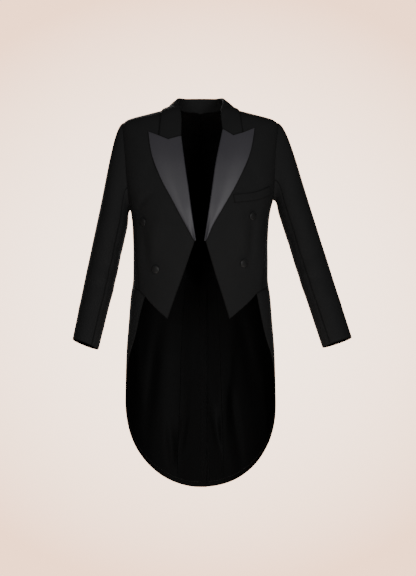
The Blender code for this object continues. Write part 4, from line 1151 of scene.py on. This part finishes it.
def cloth_finish(name, groups, look):
    """A woven cloth's material, from its own table of looks."""
    made = bpy.data.materials.new(f"{name}_finish")
    made.use_nodes = True
    tree = made.node_tree
    shader = tree.nodes["Principled BSDF"]
    place = node(tree, "ShaderNodeUVMap", uv_map="cloth").outputs[0]
    weave = placed(tree, groups["weave"], {
        "Place": place, "Ribs": look["ribs"], "Crossings": look["crossings"],
        "Slant": look["slant"], "Broken": look["broken"],
    })["Height"]
    tone = placed(tree, groups["tone"], {
        "Place": place, "Size": look["tone_size"], "Lint": look["lint"],
    })
    pressed_and_shaded = placed(tree, groups["pressed_and_shaded"], {"Width": look["pressed_and_shaded_width"]})["Pressed_and_shaded"]
    inside = node(tree, "ShaderNodeAttribute", attribute_name="inside").outputs["Fac"]
    colour = mixed(tree, tone["Tone"], look["dark"], look["light"])
    # threads over the weave, then the edge colour near edges and seams, which on the wool is painted
    # shade
    for mask, kind in ((weave, "thread"), (pressed_and_shaded, "edge")):
        share = math_node(tree, "MULTIPLY", mask, look[f"{kind}_tint"])
        colour = mixed(tree, share, colour, look[kind])
    colour = mixed(tree, tone["Specks"], colour, look["speck"])
    colour = mixed(tree, inside, colour, LINING_COLOUR)
    tree.links.new(colour, shader.inputs["Base Color"])
    rough = node(tree, "ShaderNodeMapRange", {
        "Value": tone["Tone"], "To Min": look["smoothest"], "To Max": look["roughest"],
    }).outputs[0]
    for mask, kind in ((pressed_and_shaded, "edge"), (inside, "lined")):
        shine = math_node(tree, "MULTIPLY", mask, look[f"{kind}_shine"])
        rough = math_node(tree, "SUBTRACT", rough, shine, clamp=kind == "lined")
    tree.links.new(rough, shader.inputs["Roughness"])
    bump = node(tree, "ShaderNodeBump", {
        "Height": weave, "Strength": look["bump"], "Distance": look["thread_height"],
    })
    tree.links.new(bump.outputs[0], shader.inputs["Normal"])
    shader.inputs["Specular IOR Level"].default_value = look["specular"]
    return made


GROUPS = {"weave": weave_group(), "tone": tone_group(), "pressed_and_shaded": pressed_and_shaded_group()}
FINISHES = {
    name: cloth_finish(name, GROUPS, {row[0]: row[1 + k] for row in LOOKS})
    for k, name in enumerate(FINISH_NAMES)
}


# Stitches

EDGE_STITCH = 2  # lines in from the lining's edge
STITCH_SPACING, STITCH_LENGTH = 0.0045, 0.0024
THREAD_RADIUS = 0.00022
STITCH_RISE = 2.2  # of its middle, in radii of the thread
STITCH_STEPS, THREAD_SIDES = 4, 5
STITCH_LEAN, LEAN_RANGE = 0.35, (0.75, 1.25)  # radians, and the shares of it that a stitch may have
STITCH_SEED = 3


def stitch_tree():
    """Geometry nodes that sew a row of small stitches along a line of points."""
    tree, given, out = new_group("row_of_stitches", "GeometryNodeTree", (
        ("Line", "INPUT", "Geometry", None),
        ("Spacing", "INPUT", "Float", STITCH_SPACING),
        ("Length", "INPUT", "Float", STITCH_LENGTH),
        ("Thread", "INPUT", "Float", THREAD_RADIUS),
        ("Lean", "INPUT", "Float", STITCH_LEAN),
        ("Seed", "INPUT", "Int", STITCH_SEED),
        ("Finish", "INPUT", "Material", None),
        ("Stitches", "OUTPUT", "Geometry", None),
    ))

    def part(share, label):
        return math_node(tree, "MULTIPLY", given[label], share)

    curve = node(tree, "GeometryNodeMeshToCurve", {"Mesh": given["Line"]})
    points = node(tree, "GeometryNodeCurveToPoints", {
        "Curve": curve.outputs[0], "Length": given["Spacing"],
    }, mode="LENGTH")
    sunk = part(-1.0, "Thread")
    ends = [
        node(tree, "ShaderNodeCombineXYZ", {"X": part(share, "Length"), "Z": sunk}).outputs[0]
        for share in (-0.5, 0.5)
    ]
    crown = node(tree, "ShaderNodeCombineXYZ", {"Z": part(STITCH_RISE, "Thread")}).outputs[0]
    arc = node(tree, "GeometryNodeCurveQuadraticBezier", {
        "Resolution": STITCH_STEPS, "Start": ends[0], "Middle": crown, "End": ends[1],
    })
    ring = node(tree, "GeometryNodeCurvePrimitiveCircle", {
        "Resolution": THREAD_SIDES, "Radius": given["Thread"],
    })
    thread = node(tree, "GeometryNodeCurveToMesh", {
        "Curve": arc.outputs[0], "Profile Curve": ring.outputs[0], "Fill Caps": True,
    })
    facing = node(tree, "GeometryNodeInputNamedAttribute", {"Name": "facing"}, data_type="FLOAT_VECTOR")
    upright = node(tree, "FunctionNodeAlignRotationToVector", {"Vector": facing.outputs[0]}, axis="Z")
    turned = node(tree, "FunctionNodeAlignRotationToVector", {
        "Rotation": upright.outputs[0], "Vector": points.outputs["Tangent"],
    }, axis="X", pivot_axis="Z")
    low, high = [part(share, "Lean") for share in LEAN_RANGE]
    chance = node(tree, "FunctionNodeRandomValue", {
        2: low, 3: high, "Seed": given["Seed"],
    }, data_type="FLOAT")
    lean = node(tree, "ShaderNodeCombineXYZ", {"Z": chance.outputs[1]}).outputs[0]
    leaning = node(tree, "FunctionNodeRotateRotation", {
        "Rotation": turned.outputs[0], "Rotate By": lean,
    }, rotation_space="LOCAL")
    sewn = node(tree, "GeometryNodeInstanceOnPoints", {
        "Points": points.outputs["Points"], "Instance": thread.outputs[0],
        "Rotation": leaning.outputs[0],
    })
    real = node(tree, "GeometryNodeRealizeInstances", {"Geometry": sewn.outputs[0]})
    dyed = node(tree, "GeometryNodeSetMaterial", {
        "Geometry": real.outputs[0], "Material": given["Finish"],
    })
    tree.links.new(dyed.outputs[0], out["Stitches"])
    return tree


def sew(name, rows, tree):
    """Rows of stitches along lines of points, each with the way that its cloth faces."""
    lines, facings = zip(*rows)
    mesh = bpy.data.meshes.new(name)
    edges, first = [], 0
    for line in lines:
        edges += [(first + k, first + k + 1) for k in range(len(line) - 1)]
        first += len(line)
    mesh.from_pydata(np.vstack(lines).tolist(), edges, [])
    facing = mesh.attributes.new("facing", "FLOAT_VECTOR", "POINT")
    facing.data.foreach_set("vector", np.vstack(facings).astype(np.float32).ravel())
    row = in_scene(name, mesh)
    sewing = row.modifiers.new("sewing", "NODES")
    sewing.node_group = tree
    for socket in tree.interface.items_tree:
        if socket.name == "Finish":
            sewing[socket.identifier] = FINISHES["thread"]
    graph = bpy.context.evaluated_depsgraph_get()
    made = bpy.data.meshes.new_from_object(row.evaluated_get(graph))
    bpy.data.objects.remove(row)
    made.name = name
    spare = made.attributes.get("facing")
    if spare:
        made.attributes.remove(spare)
    dressed(name, made, "thread")


# Buttons

BUTTON_TURNS = 64
BUTTON_PROFILE = (
    # share of the radius, height
    (0.0, 0.00600), (0.15, 0.00597), (0.32, 0.00588), (0.50, 0.00570), (0.66, 0.00540),
    (0.80, 0.00500), (0.90, 0.00452), (0.965, 0.00400), (0.995, 0.00345), (1.0, 0.00310),
    (0.985, 0.00268), (0.94, 0.00225), (0.86, 0.00196), (0.70, 0.00178), (0.50, 0.00166),
    (0.40, 0.00156), (0.36, 0.00120), (0.335, 0.0006), (0.333, 0.0),
)
BUTTON_RIM_Z = 0.0031
PUCKERS, PUCKER_DEPTH, PUCKER_TURN = 16, 0.018, 0.7
PUCKER_FROM, PUCKER_GROWTH = 0.8, 1.2  # on the dome, where the puckers begin and how fast they deepen
SHANK_SHARE = 0.4  # of the radius; the shank below the button has no puckers
BUTTON_AWAY = 0.5  # a button's ray starts this far from the middle of the coat


def button_mesh():
    """A covered button: cloth drawn over a dome in fine puckers that gather under its rim."""
    rings = []
    turns = np.linspace(0, math.tau, BUTTON_TURNS, endpoint=False)
    wave = np.sin(turns * PUCKERS + PUCKER_TURN)
    for share, height in BUTTON_PROFILE[1:]:
        deep = 1.0 if height < BUTTON_RIM_Z else max(0.0, share - PUCKER_FROM) * PUCKER_GROWTH
        pucker = PUCKER_DEPTH * deep * (share > SHANK_SHARE) * wave
        radius = BUTTON_RADIUS * share * (1 + pucker)
        flat = np.full(BUTTON_TURNS, height)
        rings.append(np.stack([radius * np.cos(turns), radius * np.sin(turns), flat], axis=1))
    points = np.vstack([[[0, 0, BUTTON_PROFILE[0][1]]], *rings, [[0, 0, 0]]])
    faces = []
    for k in range(BUTTON_TURNS):
        after = (k + 1) % BUTTON_TURNS
        faces.append((0, 1 + k, 1 + after))
        for ring in range(len(rings) - 1):
            a, b = 1 + ring * BUTTON_TURNS, 1 + (ring + 1) * BUTTON_TURNS
            faces.append((a + k, b + k, b + after, a + after))
        last = 1 + (len(rings) - 1) * BUTTON_TURNS
        faces.append((last + after, last + k, len(points) - 1))
    return points, faces


def sew_button(name, panel, x, z, facing):
    """Seats a button on the outer face of a panel that faces forward (-1) or back (1)."""
    cloth = panel.data
    tree = BVHTree.FromPolygons([v.co for v in cloth.vertices], [p.vertices for p in cloth.polygons])
    point, normal, _, _ = tree.ray_cast(Vector((x, facing * BUTTON_AWAY, z)), Vector((0, -facing, 0)))
    turn = np.array(normal.to_track_quat("Z", "Y").to_matrix())
    points, faces = button_mesh()
    moved = points @ turn.T + np.array(point + normal * SEAM_GAP)
    mesh = bpy.data.meshes.new(name)
    mesh.from_pydata(moved.tolist(), [], faces)
    lay_pattern(mesh, points[:, :2])
    finished(name, mesh, "button")


# The coat

def flat_lift(points):
    return np.zeros(points.shape[:-1])


def welt_piece():
    """The breast pocket's welt, laid on the left front."""
    top = through(seen(WELT_TOP, 1, -1), WELT_COLUMNS)
    foot = [(x + WELT_SLANT, z - WELT_DEPTH) for x, z in WELT_TOP]
    foot = through(seen(foot, 1, -1), WELT_COLUMNS)
    ends = [np.linspace(foot[k], top[k], WELT_ROWS + 1) for k in (0, -1)]
    grid = with_edge_lines(press(stretch(foot, top, ends[0], ends[1])))
    normals = outward(grid)
    lift = creased(grid) + CLOTH / 2 + SEAM_GAP + WELT_WALL / 2
    wall("breast_welt", grid + normals * lift[..., None], normals, WELT_WALL, "wool")


def rolled_piece(name, grid, normals, sides, finish):
    """A lapel or the collar, from its rows of points."""
    grid, normals = edged(set_back(grid, SEWN, sides), normals)
    wall(name, grid, normals, LAPEL_WALL, finish)


def sleeve_pieces(name, front, sleeve):
    """The top sleeve and the under sleeve, with a seam in front of and behind the arm."""
    rings, tucked_normals = sleeve_rings(front, sleeve)
    normals = facing_with(numeric_normals(rings, wraps=True), rings - rings.mean(axis=1, keepdims=True))
    normals[0] = tucked_normals
    rings = rings + normals * crease_lift(len(rings))[..., None]
    spans = {
        "top_sleeve": range(UNDER_END, UNDER_START + ARM_STATIONS + 1),
        "under_sleeve": range(UNDER_START, UNDER_END + 1),
    }
    for kind, span in spans.items():
        picked = [k % ARM_STATIONS for k in span]
        grid, out = edged(set_back(rings[:, picked], SEWN, "left right"), normals[:, picked])
        grid = grid - out * seam_dip(grid)[..., None]
        wall(f"{kind}_{name}", grid, out, CLOTH, "wool", lined=True)


def felling(shell, side):
    """The lining's outer edge and hem as one line just inside it, and the way it faces."""
    rows = shell[EDGE_STITCH:-EDGE_STITCH, EDGE_STITCH:-EDGE_STITCH]
    line = chain(rows[::-1, 0], rows[0]) if side == "edge" else rows[0]
    facing = -outward(line)
    return line + facing * (LINING_WALL / 2), facing


def make_coat():
    """Makes every piece of both sides, then the collar and what is sewn on."""
    lapels, panels, seams, felled = {}, {}, {}, []
    for name, front in FRONTS.items():
        side = front["side"]
        lines = seams[name] = seams_of(front)

        def tail_lift(points, side=side):
            return flute_lift(points) + vent_lift(points, side)

        back, skirt = back_grid(lines, side), skirt_grid(lines)
        panels["front", name] = body_piece(f"front_{name}", front_grid(lines), flat_lift)
        body_piece(f"side_body_{name}", side_grid(lines), flat_lift)
        panels["back", name] = body_piece(f"back_{name}", back, tail_lift)
        body_piece(f"skirt_{name}", skirt, flute_lift)
        margins = (LINING_MARGIN, LINING_TUCK, LINING_MARGIN, LINING_SEAM)
        shell = lining_piece(f"skirt_lining_{name}", skirt, flute_lift, margins)
        felled.append(felling(shell, "edge"))
        lapels[name] = lapel_rows(front, lines)
        rolled_piece(f"lapel_{name}", *lapels[name], "top", "satin")
        sleeve_pieces(name, front, SLEEVES[name])
        strip = back[: TAIL_ROWS + 1, VENT_COLUMNS if side > 0 else INNER_VENT_COLUMNS :]
        margins = (LINING_MARGIN, LINING_TUCK, 0.0, LINING_SEAM)
        shell = lining_piece(f"back_lining_{name}", strip, tail_lift, margins)
        felled.append(felling(shell, "hem"))
    rolled_piece("collar", *collar_rows(seams, lapels), "bottom top", "wool")
    welt_piece()
    sew("felling_stitches", felled, stitch_tree())
    for name, front in FRONTS.items():
        side = front["side"]
        for k, (x, z) in enumerate(front["buttons"]):
            sew_button(f"front_button_{name}_{k + 1}", panels["front", name], side * x, z, -1)
        x, z = BACK_BUTTON
        sew_button(f"back_button_{name}", panels["back", name], side * x, z, 1)


# The studio

CAMERA_PLACE = (0.021, -6.0, -0.507)
LENS, SENSOR_HEIGHT = 134.0, 36.0  # millimetres
CAMERA_REACH = 60.0
FLOOR_Z = -1.62
FLOOR_RADIUS = 1.3
FLOOR_GLOW = (0.72, 0.62, 0.56, 1.0)
FLOOR_TONES = ((0.80, 0.73, 0.67, 1.0), (0.86, 0.79, 0.73, 1.0))
FLOOR_TONE_SIZE = 1.3
FLOOR_ROUGHNESS = 0.7
FLOOR_SIDES = 96
LIGHTS = (
    # name, place, what it aims at, width, height, watts, warmth
    ("key", (-1.7, -4.6, 0.10), (0.0, 0.0, -0.45), 1.5, 1.7, 54.0, 0.01),
    ("fill", (1.9, -4.4, -0.25), (0.0, 0.0, -0.45), 1.3, 1.7, 76.0, 0.0),
    ("back_left", (-1.3, 3.9, 1.4), (0.0, 0.0, -0.35), 1.4, 1.8, 230.0, 0.0),
    ("back_right", (1.1, 4.2, 0.1), (0.0, 0.0, -0.55), 1.4, 1.8, 110.0, 0.0),
)
BACKDROP_MIDDLE = (4.6, 3.55, 2.85, 1.0)
BACKDROP_CORNERS = (3.2, 1.90, 1.25, 1.0)
BACKDROP_REACH = {0: 0.160, 2: 0.142}  # how far the middle's glow reaches across and up, by axis
LEAST_AHEAD = 0.05  # keeps the room's sides from a division by nothing
ROOM_LIGHT = (0.10, 0.095, 0.09, 1.0)


def make_camera():
    camera = bpy.data.cameras.new("camera")
    camera.lens = LENS
    camera.sensor_fit = "VERTICAL"
    camera.sensor_height = SENSOR_HEIGHT
    camera.clip_end = CAMERA_REACH
    holder = in_scene("camera", camera)
    holder.location = CAMERA_PLACE
    holder.rotation_euler = (math.pi / 2, 0.0, 0.0)
    bpy.context.scene.camera = holder


def make_lights():
    for name, place, aim, wide, high, watts, warmth in LIGHTS:
        light = bpy.data.lights.new(name, "AREA")
        light.shape = "RECTANGLE"
        light.size, light.size_y = wide, high
        light.energy = watts
        light.color = (1.0, 1.0 - warmth, 1.0 - 2 * warmth)
        holder = in_scene(name, light)
        holder.location = place
        holder.rotation_euler = (Vector(aim) - Vector(place)).to_track_quat("-Z", "Y").to_euler()


def make_room():
    """A pale warm room, a little darker away from the middle of its front and back walls."""
    world = bpy.data.worlds.new("studio")
    world.use_nodes = True
    tree = world.node_tree
    tree.nodes.clear()
    ray = node(tree, "ShaderNodeTexCoord").outputs["Generated"]
    way = node(tree, "ShaderNodeSeparateXYZ", {0: ray})
    ahead = math_node(tree, "ABSOLUTE", way.outputs[1])
    ahead = math_node(tree, "MAXIMUM", ahead, LEAST_AHEAD)
    squares = []
    for axis, reach in BACKDROP_REACH.items():
        off = math_node(tree, "DIVIDE", way.outputs[axis], ahead)
        squares.append(math_node(tree, "POWER", math_node(tree, "DIVIDE", off, reach), 2.0))
    share = math_node(tree, "ADD", *squares, clamp=True)
    backdrop = mixed(tree, share, BACKDROP_MIDDLE, BACKDROP_CORNERS)
    shown = node(tree, "ShaderNodeBackground", {0: backdrop})
    light = node(tree, "ShaderNodeBackground", {0: ROOM_LIGHT})
    direct = node(tree, "ShaderNodeLightPath").outputs["Is Camera Ray"]
    both = node(tree, "ShaderNodeMixShader", {0: direct})
    tree.links.new(light.outputs[0], both.inputs[1])
    tree.links.new(shown.outputs[0], both.inputs[2])
    tree.links.new(both.outputs[0], node(tree, "ShaderNodeOutputWorld").inputs[0])
    bpy.context.scene.world = world


def floor_finish():
    """A pale floor with slow changes of tone and a little light of its own."""
    made = bpy.data.materials.new("floor")
    made.use_nodes = True
    tree = made.node_tree
    shader = tree.nodes["Principled BSDF"]
    place = node(tree, "ShaderNodeTexCoord").outputs["Object"]
    slow = node(tree, "ShaderNodeTexNoise", {
        "Vector": place, "Scale": FLOOR_TONE_SIZE, "Detail": SLOW_DETAIL,
    })
    tree.links.new(mixed(tree, slow.outputs[0], *FLOOR_TONES), shader.inputs["Base Color"])
    shader.inputs["Roughness"].default_value = FLOOR_ROUGHNESS
    shader.inputs["Emission Color"].default_value = FLOOR_GLOW
    shader.inputs["Emission Strength"].default_value = 1.0
    return made


def make_floor():
    """A round pale floor, well below the hanging coat."""
    turns = np.linspace(0, math.tau, FLOOR_SIDES, endpoint=False)
    rim = [(FLOOR_RADIUS * math.cos(t), FLOOR_RADIUS * math.sin(t), FLOOR_Z) for t in turns]
    mesh = bpy.data.meshes.new("floor")
    mesh.from_pydata(rim, [], [tuple(range(len(rim)))])
    mesh.materials.append(floor_finish())
    in_scene("floor", mesh)


make_camera()
make_coat()
make_floor()
make_lights()
make_room()
